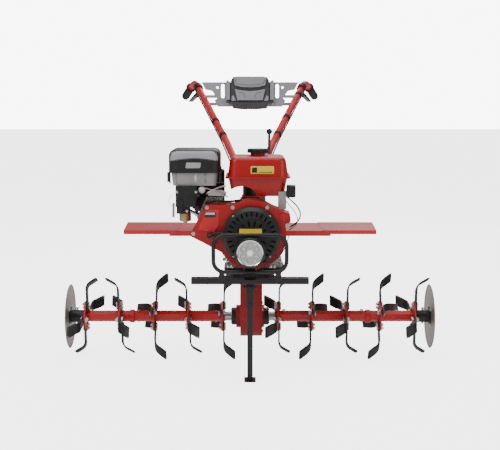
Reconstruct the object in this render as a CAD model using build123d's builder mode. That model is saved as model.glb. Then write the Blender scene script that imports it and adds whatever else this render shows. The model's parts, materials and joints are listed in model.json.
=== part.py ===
from build123d import *
import os
from math import cos, pi, radians, sin

# Walk-behind rotary tiller: petrol engine, chain gearbox, two tine rotors and a V handlebar.
# Millimetres. +X runs left to right along the rotor axle, +Y from the headlight back to the grips
# and +Z up. The origin is on the ground under the middle of the machine.

# ---------------------------------------------------------------- driving dimensions
# Rotor. Every y in this script is measured back from the axle.
AXLE_Y = -277.92
TIP_RADIUS = 168.0
DISC_RADIUS = 124.0
DISC_THICKNESS = 2.5
DISC_OFFSET = 62.0  # beyond the last tine plate
STATION_FIRST = 107.0
STATION_PITCH = 132.3
STATIONS_INNER = 3
STATIONS_OUTER = 2
HEX_FLATS = 38.0
HEX_WALL = 4.0
HEX_START = 97.0
SLIP = 0.3  # sliding clearance between nested pieces
RUNNING = 0.05  # radial clearance of a shaft in its bearing
PLATE_SIDE = 96.0
PLATE_THICKNESS = 6.0
PIN_RADIUS = 4.0
PIN_HEAD = 6.5

BLADE_WIDTH = 34.0
BLADE_THICKNESS = 6.0
BLADE_BEND_RADIUS = 28.0
BLADE_BEND = 65.0
BLADE_SKEW = 30.0  # bend line against the tangent
BLADE_FOOT = 31.0
BLADE_ROOT = 26.0
BLADE_BOLT_RADII = (35.0, 49.0)
PHASE_BACK = 8.0  # plates whose lowest tip lies behind the axle, and in front of it
PHASE_FRONT = -28.0
PLATE_PHASES = {
    "left": (PHASE_FRONT, PHASE_BACK, PHASE_FRONT, PHASE_BACK, PHASE_BACK),
    "right": (PHASE_BACK, PHASE_FRONT, PHASE_BACK, PHASE_FRONT, PHASE_BACK),
}
# Whether each plate's top, front, bottom and back blade bends outwards or inwards.
BLADE_BENDS = {
    "left": ("ioio", "oiio", "ioio", "oiio", "iooi"),
    "right": ("oioi", "ooii", "oioi", "ooii", "oioi"),
}
BOLT_RADIUS = 5.0
BOLT_HEAD = 8.0
BOLT_HEAD_HEIGHT = 5.0

# Gearbox
CASE_LEFT = -38.0
CASE_RIGHT = 40.0
CASE_WALL = 8.0
CASE_HALF_DEPTH = 70.0
CASE_BOTTOM_RADIUS = 77.0
CASE_TOP_Z = 618.0
COVER_THICKNESS = 7.0
BOSS_LENGTH = 8.0
AXLE_BOSS_RADIUS = 44.0
AXLE_SHAFT_RADIUS = 15.0
AXLE_BEARING_RADIUS = 31.0
CROSS_SHAFT_RADIUS = 10.0
CROSS_BEARING_RADIUS = 19.0
CROSS_BOSS_RADIUS = 27.0
BEARING_WIDTH = 13.0
SEAL_RADIUS = 34.0
SEAL_WIDTH = 17.0
COLLAR_RADIUS = 17.5
CHAIN_PITCH = 15.875
CHAIN_SPAN_LINKS = 23
SPROCKET_TEETH = 10
SPROCKET_WIDTH = 8.0
CHAIN_X = -14.0
ROLLER_RADIUS = 5.0
LINK_HALF_HEIGHT = 6.0
LINK_PLATE = 2.0
GEAR_MODULE = 3.5
PINION_TEETH = 12
CROWN_TEETH = 30
GEAR_FACE = 12.0
CLUTCH_RADIUS = 50.0
CLUTCH_PLATE = 8.0
HOUSING_RADIUS = 72.0
HOUSING_WALL = 5.0

# Engine
CRANK_X = 6.0
CRANK_RADIUS = 12.5
CRANK_ABOVE_BASE = 133.0
CRANKCASE_FRONT = -262.0
CRANKCASE_BACK = -138.0
CRANKCASE_WALL = 7.0
CRANKCASE_COVER = 8.0
CYLINDER_TILT = 25.0
BORE_RADIUS = 44.0
BARREL_RADIUS = 52.0
FIN_HALF = 58.0
SHROUD_FRONT = -372.0
SHROUD_BACK = -268.0
SHROUD_RADIUS = 122.0
SHROUD_WALL = 2.0
RECOIL_RADIUS = 101.0
RECOIL_DEPTH = 40.0

# Frame, bumper, headlight, stand
FRAME_PLATE = 6.0
BAR_HEIGHT = 22.0
BAR_DEPTH = 38.0
BAR_LENGTH = 406.0
BAR_WALL = 3.0
BAR_Y = -430.0
BAR_HOLE = 5.5
BAR_HOLE_SPACING = 340.0
RAIL_X = 70.0
RAIL_WIDTH = 30.0
LOOP_WIDTH = 262.0
LOOP_HEIGHT = 139.0
LOOP_TUBE = 14.0
LOOP_GAP = 23.0
LOOP_Y = -500.0
LOOP_CORNER = 45.0
LAMP_RADIUS = 52.0
LAMP_FRONT = -532.0
LAMP_DEPTH = 64.0
LAMP_RISE = 98.1  # above the crossbar
STAND_Y = -352.0
STAND_SOCKET = 26.0
STAND_TUBE = 20.0
STAND_PIVOT_DROP = 26.0
FOOT_LENGTH = 60.0
FOOT_WIDTH = 42.0
FOOT_THICKNESS = 4.0

# Fenders
FENDER_TOP_Z = 513.0
FENDER_SHEET = 2.0
FENDER_FRONT = -140.0
FENDER_BACK = 122.0
FENDER_FLANGE = 13.0
FENDER_SLANT = 14.0
FENDER_INNER = (112.0, 300.0)
FENDER_OUTER = (268.0, 470.0)
FENDER_BAR = 24.0

# Tank and air cleaner
TANK_X = 28.0
TANK_Y = -205.0
TANK_HALF_X = 108.0
TANK_HALF_Y = 122.0
TANK_FLANGE = 7.0
TANK_SEAM_Z = 722.0
TANK_TOP_Z = 794.0
TANK_BOTTOM_Z = 656.0
TANK_WALL = 1.6
CAP_RADIUS = 38.0
CAP_HEIGHT = 15.0
NECK_RADIUS = 26.0
NECK_HEIGHT = 10.0
CLEANER_X = -196.0
CLEANER_HALF_X = 90.0
CLEANER_FRONT = -342.0
CLEANER_BACK = -130.0
CLEANER_BOWL_Z = 695.0
CLEANER_LID_Z = 740.0
CLEANER_TOP_Z = 821.0

# Handlebar
TUBE_RADIUS = 14.5
CABLE_RADIUS = 3.0
BAND_SHARES = {-1: (0.08, 0.30), 1: (0.10, 0.36, 0.74)}
BAND_WIDTH = 18.0
TUBE_WALL = 2.5
SOCKET_RADIUS = 18.0
PIVOT_Y = 118.0
PIVOT_Z = 672.0
PIVOT_RADIUS = 8.0
SWIVEL_Y = 30.0
SWIVEL_RADIUS = 16.0
ROOT_POINT = (34.0, 150.0, 694.0)
CLAMP_POINT = (98.0, 430.0, 815.0)
BEND_POINT = (255.0, 905.0, 1078.0)
GRIP_POINT = (309.0, 1075.0, 1010.0)
GRIP_RADIUS = 18.0
GRIP_LENGTH = 118.0

# ---------------------------------------------------------------- worked out from them
CHAIN_RADIUS = CHAIN_PITCH / 2 / sin(pi / SPROCKET_TEETH)
STATION_COUNT = STATIONS_INNER + STATIONS_OUTER
STATIONS = [STATION_FIRST + STATION_PITCH * i for i in range(STATION_COUNT)]
HEX_BORE_FLATS = HEX_FLATS - 2 * HEX_WALL
STUB_FLATS = HEX_BORE_FLATS - 2 * SLIP
SLEEVE_JOINT = STATIONS[STATIONS_INNER] - 47.0
DISC_X = STATIONS[-1] + DISC_OFFSET


def hexagon(flats):
    """Hexagon with a flat on top, for the plane being sketched on."""
    return RegularPolygon(flats / 2, 6, major_radius=False, rotation=30)


def across(x, y=0.0, z=None):
    """Plane square to the axle: its x runs back, its y up, and it faces +X."""
    return Plane(origin=(x, AXLE_Y + y, AXLE_Z if z is None else z), x_dir=(0, 1, 0), z_dir=(1, 0, 0))


def facing(y, x=0.0, z=0.0):
    """Plane that faces the front of the machine: its x runs right and its y up."""
    return Plane(origin=(x, AXLE_Y + y, z), x_dir=(1, 0, 0), z_dir=(0, -1, 0))


def level(z, x=0.0, y=0.0):
    """Level plane: its x runs right and its y back."""
    return Plane(origin=(x, AXLE_Y + y, z), x_dir=(1, 0, 0), z_dir=(0, 0, 1))


def place(point):
    """A point given with y measured back from the axle."""
    return Vector(point[0], AXLE_Y + point[1], point[2])


def save(builder, name):
    """Label a finished piece and write it to its own STEP file."""
    builder.part.label = name
    export_step(builder.part, f"parts/{name}.step")


os.makedirs("parts", exist_ok=True)
SIDES = ((1, "right"), (-1, "left"))

# ---------------------------------------------------------------- tine blade
skew_c, skew_s = cos(radians(BLADE_SKEW)), sin(radians(BLADE_SKEW))
bend_c, bend_s = cos(radians(BLADE_BEND)), sin(radians(BLADE_BEND))
arc_length = BLADE_BEND_RADIUS * radians(BLADE_BEND)
arc_rise = BLADE_BEND_RADIUS * bend_s
foot_rise = arc_rise + BLADE_FOOT * bend_c


def flat_to_side(start, flat_length, rise):
    """Side view (forward, radial) of a point on the blade past its bend line."""
    along_bend = skew_s * flat_length / skew_c
    return (
        start[0] + along_bend * skew_c - rise * skew_s,
        start[1] + along_bend * skew_s + rise * skew_c,
    )


foot_corner = flat_to_side((BLADE_WIDTH / 2, BLADE_WIDTH / 2 * skew_s / skew_c), arc_length + BLADE_FOOT, foot_rise)
BEND_RADIAL = (TIP_RADIUS**2 - foot_corner[0] ** 2) ** 0.5 - foot_corner[1]


def blade_side_outline():
    """The blade seen along the axle: a strip that leans forward past its skewed bend line."""
    edges = []
    for side in (BLADE_WIDTH / 2, -BLADE_WIDTH / 2):
        start = (side, BEND_RADIAL + side * skew_s / skew_c)
        arc_end = flat_to_side(start, arc_length, arc_rise)
        tip = flat_to_side(start, arc_length + BLADE_FOOT, foot_rise)
        edges.append([(side, BLADE_ROOT), start, arc_end, tip])
    return [(-forward, radial) for forward, radial in edges[0] + edges[1][::-1]]


with BuildPart() as blade:
    bend_plane = Plane(origin=(0, 0, BEND_RADIAL), x_dir=(0, skew_s, skew_c), z_dir=(0, skew_c, -skew_s))
    with BuildSketch(bend_plane):
        with BuildLine():
            shank = Line((-TIP_RADIUS, BLADE_THICKNESS / 2), (0, BLADE_THICKNESS / 2))
            bend = JernArc(shank @ 1, shank % 1, BLADE_BEND_RADIUS, BLADE_BEND)
            Line(bend @ 1, bend @ 1 + (bend % 1) * BLADE_FOOT)
        trace(line_width=BLADE_THICKNESS)
    extrude(amount=TIP_RADIUS, both=True)
    with BuildSketch(Plane.YZ):
        Polygon(*blade_side_outline(), align=None)
    extrude(amount=TIP_RADIUS, both=True, mode=Mode.INTERSECT)
    with Locations(*[Plane.YZ * Location((0, r, 0)) for r in BLADE_BOLT_RADII]):
        Cylinder(BOLT_RADIUS, 4 * BLADE_THICKNESS, mode=Mode.SUBTRACT)

with BuildPart() as blade_bolt:
    with BuildSketch(Plane.YZ.offset(PLATE_THICKNESS / 2 + BLADE_THICKNESS)):
        RegularPolygon(BOLT_HEAD, 6, major_radius=False)
    extrude(amount=BOLT_HEAD_HEIGHT)
    with BuildSketch(Plane.YZ.offset(PLATE_THICKNESS / 2 + BLADE_THICKNESS)):
        Circle(BOLT_RADIUS)
    extrude(amount=-(PLATE_THICKNESS + BLADE_THICKNESS + 2 * BOLT_HEAD_HEIGHT))
    with BuildSketch(Plane.YZ.offset(-PLATE_THICKNESS / 2)):
        RegularPolygon(BOLT_HEAD, 6, major_radius=False, rotation=15)
    extrude(amount=-BOLT_HEAD_HEIGHT)

right_blade = blade.part.moved(Location((PLATE_THICKNESS / 2, 0, 0)))
left_blade = mirror(right_blade, about=Plane.YZ)
left_bolt = mirror(blade_bolt.part, about=Plane.YZ)


def blade_places(side, word):
    """Each blade's place on one rotor, and whether it bends to the right."""
    places = []
    for station, phase, bends in zip(STATIONS, PLATE_PHASES[word], BLADE_BENDS[word]):
        for quarter, bend_way in enumerate(bends):
            location = Location((side * station, AXLE_Y, AXLE_Z), (phase + 90 * quarter, 0, 0))
            places.append((location, (bend_way == "o") == (side > 0)))
    return places


heights = []
for phase in (PHASE_BACK, PHASE_FRONT):
    for quarter in range(4):
        turned = blade.part.rotate(Axis.X, phase + 90 * quarter)
        heights.append(turned.bounding_box().min.Z)
AXLE_Z = -min(heights)
print("lowest tips of the two plate phases", round(min(heights[:4]), 2), round(min(heights[4:]), 2))
CRANK_Z = AXLE_Z + CHAIN_PITCH * CHAIN_SPAN_LINKS
ENGINE_BASE_Z = CRANK_Z - CRANK_ABOVE_BASE
FRAME_Z = ENGINE_BASE_Z - FRAME_PLATE

# ---------------------------------------------------------------- rotors
with BuildPart() as tine_blades:
    for side, word in SIDES:
        add([(right_blade if way else left_blade).moved(at) for at, way in blade_places(side, word)])
save(tine_blades, "tine_blades")

with BuildPart() as tine_bolts:
    bolts = []
    for side, word in SIDES:
        for location, bends_right in blade_places(side, word):
            bolt = blade_bolt.part if bends_right else left_bolt
            bolts += [bolt.moved(location * Location((0, 0, radius))) for radius in BLADE_BOLT_RADII]
    add(bolts)


def tine_plate(side, word, index):
    """Square tine plate welded to the tube at a station, with its corners trimmed."""
    reach = BLADE_BOLT_RADII[1] + 2 * BOLT_RADIUS
    phase = PLATE_PHASES[word][index]
    with BuildPart() as plate:
        with BuildSketch(across(side * STATIONS[index] - PLATE_THICKNESS / 2)):
            RectangleRounded(PLATE_SIDE, PLATE_SIDE, PLATE_SIDE / 12, rotation=phase + 45)
            Rectangle(2 * reach, 2 * reach, rotation=phase, mode=Mode.INTERSECT)
            for radius in BLADE_BOLT_RADII:
                with PolarLocations(radius, 4, start_angle=phase):
                    Circle(BOLT_RADIUS, mode=Mode.SUBTRACT)
        extrude(amount=PLATE_THICKNESS)
    return plate.part


STUB_END = SLEEVE_JOINT - 180.0  # how far the output shaft reaches into the tube
JOINT_LAP = 70.0
SLEEVE_START = STATIONS[-1] + 8.0
SLEEVE_OUTER = 25.5
SLEEVE_INNER = HEX_FLATS / 2 / cos(pi / 6) + SLIP
OUTER_END = DISC_X - 18.0
STUB_PIN_X = STATIONS[0] + 24.0
JOINT_PIN_X = SLEEVE_JOINT - 24.0
SLEEVE_PIN_X = SLEEVE_START + 26.0


def lock_pin_hole(side, x):
    """Drill the upright hole of a lock pin."""
    with Locations(Location((side * x, AXLE_Y, AXLE_Z))):
        Cylinder(PIN_RADIUS, 4 * HEX_FLATS, mode=Mode.SUBTRACT)


inner_shafts = []
outer_shafts = []
for side, word in SIDES:
    with BuildPart() as inner_shaft:
        with BuildSketch(across(side * HEX_START)):
            hexagon(HEX_FLATS)
        extrude(amount=side * (SLEEVE_JOINT - HEX_START))
        for index in range(STATIONS_INNER):
            add(tine_plate(side, word, index))
        with BuildSketch(across(side * HEX_START)):
            hexagon(HEX_BORE_FLATS)
        extrude(amount=side * (SLEEVE_JOINT - HEX_START), mode=Mode.SUBTRACT)
        lock_pin_hole(side, STUB_PIN_X)
        lock_pin_hole(side, JOINT_PIN_X)
    inner_shafts.append(inner_shaft.part)

    with BuildPart() as outer_shaft:
        with BuildSketch(across(side * (SLEEVE_JOINT + SLIP))):
            hexagon(HEX_FLATS)
        extrude(amount=side * (OUTER_END - SLEEVE_JOINT - SLIP))
        for index in range(STATIONS_INNER, STATION_COUNT):
            add(tine_plate(side, word, index))
        with BuildSketch(across(side * (SLEEVE_JOINT + SLIP))):
            hexagon(HEX_BORE_FLATS)
        extrude(amount=side * (OUTER_END - SLEEVE_JOINT - SLIP), mode=Mode.SUBTRACT)
        with BuildSketch(across(side * (SLEEVE_JOINT - JOINT_LAP))):
            hexagon(STUB_FLATS)
        extrude(amount=side * (JOINT_LAP + SLIP))
        with BuildSketch(across(side * (SLEEVE_JOINT + SLIP))):
            hexagon(HEX_BORE_FLATS)
        extrude(amount=side * JOINT_LAP)
        lock_pin_hole(side, JOINT_PIN_X)
        lock_pin_hole(side, SLEEVE_PIN_X)
    outer_shafts.append(outer_shaft.part)

with BuildPart() as tine_shafts_inner:
    add(inner_shafts)
save(tine_shafts_inner, "tine_shafts_inner")

with BuildPart() as tine_shafts_outer:
    add(outer_shafts)
save(tine_shafts_outer, "tine_shafts_outer")

with BuildPart() as guard_discs:
    for side, word in SIDES:
        with BuildSketch(across(side * SLEEVE_START)):
            Circle(SLEEVE_OUTER)
            Circle(SLEEVE_INNER, mode=Mode.SUBTRACT)
        extrude(amount=side * (DISC_X - SLEEVE_START))
        with BuildSketch(across(side * DISC_X)):
            Circle(DISC_RADIUS)
        extrude(amount=side * DISC_THICKNESS)
        lock_pin_hole(side, SLEEVE_PIN_X)
save(guard_discs, "guard_discs")

with BuildPart() as lock_pins:
    for side, word in SIDES:
        half_flats = HEX_FLATS / 2
        for x, reach in ((STUB_PIN_X, half_flats), (JOINT_PIN_X, half_flats), (SLEEVE_PIN_X, SLEEVE_OUTER)):
            with BuildSketch(level(AXLE_Z - reach - PIN_RADIUS, side * x)):
                Circle(PIN_RADIUS)
            extrude(amount=2 * reach + 2 * PIN_RADIUS)
            with BuildSketch(level(AXLE_Z + reach + PIN_RADIUS, side * x)):
                Circle(PIN_HEAD)
            extrude(amount=PIN_RADIUS)

with BuildPart() as rotor_fasteners:
    add([tine_bolts.part, lock_pins.part])
save(rotor_fasteners, "rotor_fasteners")

# ---------------------------------------------------------------- gearbox
COVER_X = CASE_RIGHT
COVER_OUT = CASE_RIGHT + COVER_THICKNESS
LEFT_FACE = CASE_LEFT - BOSS_LENGTH * 2
RIGHT_FACE = COVER_OUT + BOSS_LENGTH
CROSS_LEFT_FACE = CASE_LEFT - BOSS_LENGTH / 2
CROSS_RIGHT_FACE = COVER_OUT + BOSS_LENGTH / 2
INPUT_FACE = -CASE_HALF_DEPTH - BOSS_LENGTH
PINION_RADIUS = GEAR_MODULE * PINION_TEETH / 2
CROWN_RADIUS = GEAR_MODULE * CROWN_TEETH / 2


def case_outline(inset):
    """Side view of the gearbox: a column over a round chain case."""
    height = CASE_TOP_Z - AXLE_Z - inset
    with Locations((0, height / 2)):
        Rectangle(2 * (CASE_HALF_DEPTH - inset), height)
    Circle(CASE_BOTTOM_RADIUS - inset)


with BuildPart() as gearbox_case:
    with BuildSketch(across(CASE_LEFT)):
        case_outline(0)
    extrude(amount=CASE_RIGHT - CASE_LEFT)
    with BuildSketch(across(CASE_LEFT)):
        Circle(AXLE_BOSS_RADIUS)
    extrude(amount=LEFT_FACE - CASE_LEFT)
    with BuildSketch(across(CASE_LEFT, z=CRANK_Z)):
        Circle(CROSS_BOSS_RADIUS)
    extrude(amount=CROSS_LEFT_FACE - CASE_LEFT)
    with BuildSketch(facing(-CASE_HALF_DEPTH, CRANK_X, CRANK_Z)):
        Circle(CROSS_BOSS_RADIUS)
    extrude(amount=BOSS_LENGTH)
    with BuildSketch(across(CASE_LEFT + CASE_WALL)):
        case_outline(CASE_WALL)
    extrude(amount=CASE_RIGHT - CASE_LEFT, mode=Mode.SUBTRACT)
    with BuildSketch(across(LEFT_FACE)):
        Circle(AXLE_BEARING_RADIUS)
    extrude(amount=CASE_LEFT + CASE_WALL - LEFT_FACE, mode=Mode.SUBTRACT)
    with BuildSketch(across(CROSS_LEFT_FACE, z=CRANK_Z)):
        Circle(CROSS_BEARING_RADIUS)
    extrude(amount=CASE_LEFT + CASE_WALL - CROSS_LEFT_FACE, mode=Mode.SUBTRACT)
    with BuildSketch(facing(INPUT_FACE, CRANK_X, CRANK_Z)):
        Circle(CROSS_BEARING_RADIUS)
    extrude(amount=-(BOSS_LENGTH + CASE_WALL), mode=Mode.SUBTRACT)

with BuildPart() as gearbox_cover:
    with BuildSketch(across(COVER_X)):
        case_outline(0)
    extrude(amount=COVER_THICKNESS)
    with BuildSketch(across(COVER_OUT)):
        Circle(AXLE_BOSS_RADIUS)
    extrude(amount=RIGHT_FACE - COVER_OUT)
    with BuildSketch(across(COVER_OUT, z=CRANK_Z)):
        Circle(CROSS_BOSS_RADIUS)
    extrude(amount=CROSS_RIGHT_FACE - COVER_OUT)
    with BuildSketch(across(COVER_X)):
        Circle(AXLE_BEARING_RADIUS)
    extrude(amount=RIGHT_FACE - COVER_X, mode=Mode.SUBTRACT)
    with BuildSketch(across(COVER_X, z=CRANK_Z)):
        Circle(CROSS_BEARING_RADIUS)
    extrude(amount=CROSS_RIGHT_FACE - COVER_X, mode=Mode.SUBTRACT)
save(gearbox_cover, "gearbox_side_cover")

with BuildPart() as axle_seals:
    for face, outward in ((LEFT_FACE, -1), (RIGHT_FACE, 1)):
        with BuildSketch(across(face)):
            Circle(SEAL_RADIUS)
            Circle(AXLE_SHAFT_RADIUS + RUNNING, mode=Mode.SUBTRACT)
        extrude(amount=outward * SEAL_WIDTH)
save(axle_seals, "axle_seal_flanges")

with BuildPart() as gear_bearings:
    for face, inward in ((LEFT_FACE, 1), (RIGHT_FACE, -1)):
        with BuildSketch(across(face + inward * 1.0)):
            Circle(AXLE_BEARING_RADIUS)
            Circle(AXLE_SHAFT_RADIUS + RUNNING, mode=Mode.SUBTRACT)
        extrude(amount=inward * BEARING_WIDTH)
    for face, inward in ((CROSS_LEFT_FACE, 1), (CROSS_RIGHT_FACE, -1)):
        with BuildSketch(across(face, z=CRANK_Z)):
            Circle(CROSS_BEARING_RADIUS)
            Circle(CROSS_SHAFT_RADIUS + RUNNING, mode=Mode.SUBTRACT)
        extrude(amount=inward * (BOSS_LENGTH / 2 + COVER_THICKNESS))
    with BuildSketch(facing(INPUT_FACE, CRANK_X, CRANK_Z)):
        Circle(CROSS_BEARING_RADIUS)
        Circle(CROSS_SHAFT_RADIUS + RUNNING, mode=Mode.SUBTRACT)
    extrude(amount=-BEARING_WIDTH)
save(gear_bearings, "shaft_bearings")


def sprocket_sketch():
    """Toothless stand-in for a sprocket: it turns freely inside the still chain."""
    Circle(CHAIN_RADIUS - ROLLER_RADIUS - SLIP)


with BuildPart() as drive_chain:
    span = CHAIN_PITCH * CHAIN_SPAN_LINKS
    plate_gap = SPROCKET_WIDTH / 2 + 1.0
    for side in (1, -1):
        with BuildSketch(across(CHAIN_X + side * plate_gap)):
            with Locations((0, span / 2)):
                SlotCenterToCenter(span, 2 * (CHAIN_RADIUS + LINK_HALF_HEIGHT), rotation=90)
                inner_width = 2 * (CHAIN_RADIUS - LINK_HALF_HEIGHT)
                SlotCenterToCenter(span, inner_width, rotation=90, mode=Mode.SUBTRACT)
        extrude(amount=side * LINK_PLATE)
    rollers = []
    for link in range(CHAIN_SPAN_LINKS + 1):
        for strand in (1, -1):
            rollers.append((strand * CHAIN_RADIUS, link * CHAIN_PITCH))
    for tooth in range(1, SPROCKET_TEETH // 2):
        turn = 2 * pi * tooth / SPROCKET_TEETH
        rollers.append((CHAIN_RADIUS * cos(turn), span + CHAIN_RADIUS * sin(turn)))
        rollers.append((CHAIN_RADIUS * cos(turn), -CHAIN_RADIUS * sin(turn)))
    with BuildSketch(across(CHAIN_X - plate_gap)):
        with Locations(*rollers):
            Circle(ROLLER_RADIUS)
    extrude(amount=2 * plate_gap)
save(drive_chain, "drive_chain")

with BuildPart() as output_shaft:
    with BuildSketch(across(-HEX_START)):
        Circle(AXLE_SHAFT_RADIUS)
    extrude(amount=2 * HEX_START)
    with BuildSketch(across(CHAIN_X - SPROCKET_WIDTH / 2)):
        sprocket_sketch()
    extrude(amount=SPROCKET_WIDTH)
    with BuildSketch(across(CHAIN_X + SPROCKET_WIDTH / 2)):
        Circle(CHAIN_RADIUS - LINK_HALF_HEIGHT - 1.5)
    extrude(amount=12.0)
    for side, face in ((1, RIGHT_FACE), (-1, LEFT_FACE)):
        collar_start = face + side * (SEAL_WIDTH + SLIP)
        with BuildSketch(across(collar_start)):
            Circle(COLLAR_RADIUS)
        extrude(amount=side * HEX_START - collar_start)
        with BuildSketch(across(side * HEX_START)):
            hexagon(STUB_FLATS)
        extrude(amount=side * (STUB_END - HEX_START))
        with Locations(Location((side * STUB_PIN_X, AXLE_Y, AXLE_Z))):
            Cylinder(PIN_RADIUS, 4 * HEX_FLATS, mode=Mode.SUBTRACT)
save(output_shaft, "output_shaft")

# Bevel gears: every tooth is cut by planes through the point where the two axes cross.
CONE_LENGTH = (PINION_RADIUS**2 + CROWN_RADIUS**2) ** 0.5
FACE_SHARE = 1 - GEAR_FACE / CONE_LENGTH


def bevel_section(radius, mate_radius, height, half_width):
    """Two points of a tooth at its large end, on the back cone, a height above the pitch circle."""
    r = radius + height * mate_radius / CONE_LENGTH
    z = mate_radius - height * radius / CONE_LENGTH
    return [Vector(r, -half_width, z), Vector(r, half_width, z)]


def bevel_tooth(radius, mate_radius):
    """One straight bevel tooth whose cone points at the origin, with its gear along +Z."""
    pitch_half = 0.2 * pi * GEAR_MODULE
    root = bevel_section(radius, mate_radius, -1.6 * GEAR_MODULE, 1.55 * pitch_half)
    tip = bevel_section(radius, mate_radius, GEAR_MODULE * 0.9, 0.5 * pitch_half)
    corners = [root[0], root[1], tip[1], tip[0]]
    large = Face(Wire.make_polygon(corners, close=True))
    small = Face(Wire.make_polygon([c * FACE_SHARE for c in corners], close=True))
    return Solid.make_loft([large.outer_wire(), small.outer_wire()], ruled=True)


def bevel_body(radius, mate_radius, hub_radius, hub_length):
    """Outline of the gear blank under its teeth, right of the sketch's y axis."""
    large = bevel_section(radius, mate_radius, -1.35 * GEAR_MODULE, 0)[0]
    small = large * FACE_SHARE
    back = large.Z + 3.0
    points = [(0, small.Z), (small.X, small.Z), (large.X, large.Z), (large.X, back)]
    points += [(hub_radius, back), (hub_radius, back + hub_length), (0, back + hub_length)]
    return points


def bevel_gear(teeth, radius, mate_radius, hub_radius, hub_length, first_turn):
    """A whole bevel gear with its cone's point at the origin and its hub up +Z."""
    with BuildPart() as gear:
        with BuildSketch(Plane.XZ):
            with BuildLine():
                Polyline(*bevel_body(radius, mate_radius, hub_radius, hub_length), close=True)
            make_face()
        revolve(axis=Axis.Z)
        tooth = bevel_tooth(radius, mate_radius)
        add([tooth.rotate(Axis.Z, first_turn + 360 * index / teeth) for index in range(teeth)])
    return gear.part


crown_gear = bevel_gear(CROWN_TEETH, CROWN_RADIUS, PINION_RADIUS, 20.0, 2.0, 0)
pinion_gear = bevel_gear(PINION_TEETH, PINION_RADIUS, CROWN_RADIUS, 14.0, 1.0, 180 / PINION_TEETH)
apex = (CRANK_X, AXLE_Y, CRANK_Z)

with BuildPart() as cross_shaft:
    with BuildSketch(across(CROSS_LEFT_FACE, z=CRANK_Z)):
        Circle(CROSS_SHAFT_RADIUS)
    extrude(amount=CROSS_RIGHT_FACE - CROSS_LEFT_FACE)
    with BuildSketch(across(CHAIN_X - SPROCKET_WIDTH / 2, z=CRANK_Z)):
        sprocket_sketch()
    extrude(amount=SPROCKET_WIDTH)
    # Its Z axis runs along +X and its X axis points forward, where a tooth meets the pinion.
    add(Plane(origin=apex, x_dir=(0, -1, 0), z_dir=(1, 0, 0)) * crown_gear)
save(cross_shaft, "cross_shaft")

with BuildPart() as input_shaft:
    with BuildSketch(facing(-PINION_RADIUS * 2.0, CRANK_X, CRANK_Z)):
        Circle(CROSS_SHAFT_RADIUS)
    extrude(amount=-INPUT_FACE + 20.0 - PINION_RADIUS * 2.0)
    add(Plane(origin=apex, x_dir=(1, 0, 0), z_dir=(0, -1, 0)) * pinion_gear)
    with BuildSketch(facing(INPUT_FACE - 12.0, CRANK_X, CRANK_Z)):
        Circle(CLUTCH_RADIUS)
    extrude(amount=CLUTCH_PLATE)
save(input_shaft, "input_shaft")

with BuildPart() as clutch_housing:
    with BuildSketch(facing(-CASE_HALF_DEPTH, CRANK_X, CRANK_Z)):
        Circle(HOUSING_RADIUS)
    extrude(amount=-(CRANKCASE_BACK + CRANKCASE_COVER) - CASE_HALF_DEPTH)
    with BuildSketch(facing(-CASE_HALF_DEPTH - HOUSING_WALL, CRANK_X, CRANK_Z)):
        Circle(HOUSING_RADIUS - HOUSING_WALL)
    extrude(amount=-(CRANKCASE_BACK + CRANKCASE_COVER) - CASE_HALF_DEPTH, mode=Mode.SUBTRACT)
    with BuildSketch(facing(-CASE_HALF_DEPTH, CRANK_X, CRANK_Z)):
        Circle(CROSS_BOSS_RADIUS)
    extrude(amount=HOUSING_WALL, mode=Mode.SUBTRACT)
save(clutch_housing, "clutch_housing")

# ---------------------------------------------------------------- frame, bumper, stand
BAR_TOP_Z = FRAME_Z
LAMP_Z = BAR_TOP_Z + LAMP_RISE
FRAME_LEFT = -94.0
FRAME_RIGHT = 124.0
RAIL_HEIGHT = BAR_HEIGHT
RAIL_BACK = -CASE_HALF_DEPTH
FRAME_BOLT_X = (-80.0, 110.0)
FRAME_BOLT_Y = (-246.0, -156.0)
BOLT_M8 = 4.0

with BuildPart() as engine_frame:
    with BuildSketch(level(FRAME_Z, (FRAME_LEFT + FRAME_RIGHT) / 2, (CRANKCASE_FRONT + CRANKCASE_BACK) / 2)):
        RectangleRounded(FRAME_RIGHT - FRAME_LEFT, CRANKCASE_BACK - CRANKCASE_FRONT + 30.0, 10)
    extrude(amount=FRAME_PLATE)
    for rail_side in (1, -1):
        rail_middle = (BAR_Y + BAR_DEPTH / 2 + RAIL_BACK + 36) / 2
        with BuildSketch(level(FRAME_Z - RAIL_HEIGHT, rail_side * RAIL_X, rail_middle)):
            Rectangle(RAIL_WIDTH, RAIL_BACK + 36 - BAR_Y - BAR_DEPTH / 2)
        extrude(amount=RAIL_HEIGHT)
    with BuildSketch(level(FRAME_Z - RAIL_HEIGHT, 0, CRANKCASE_BACK)):
        Rectangle(2 * RAIL_X, RAIL_WIDTH)
    extrude(amount=RAIL_HEIGHT)
    with BuildSketch(level(FRAME_Z - RAIL_HEIGHT, 0, (CRANKCASE_BACK + RAIL_BACK) / 2)):
        Rectangle(CASE_RIGHT - CASE_LEFT - 8, RAIL_BACK - CRANKCASE_BACK)
    extrude(amount=RAIL_HEIGHT)
    with BuildSketch(level(FRAME_Z - RAIL_HEIGHT, 0, STAND_Y)):
        Rectangle(2 * RAIL_X, RAIL_WIDTH)
    extrude(amount=RAIL_HEIGHT)
    with Locations(*[place((x, y, FRAME_Z)) for x in FRAME_BOLT_X for y in FRAME_BOLT_Y]):
        Cylinder(BOLT_M8, 4 * RAIL_HEIGHT, mode=Mode.SUBTRACT)

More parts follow.
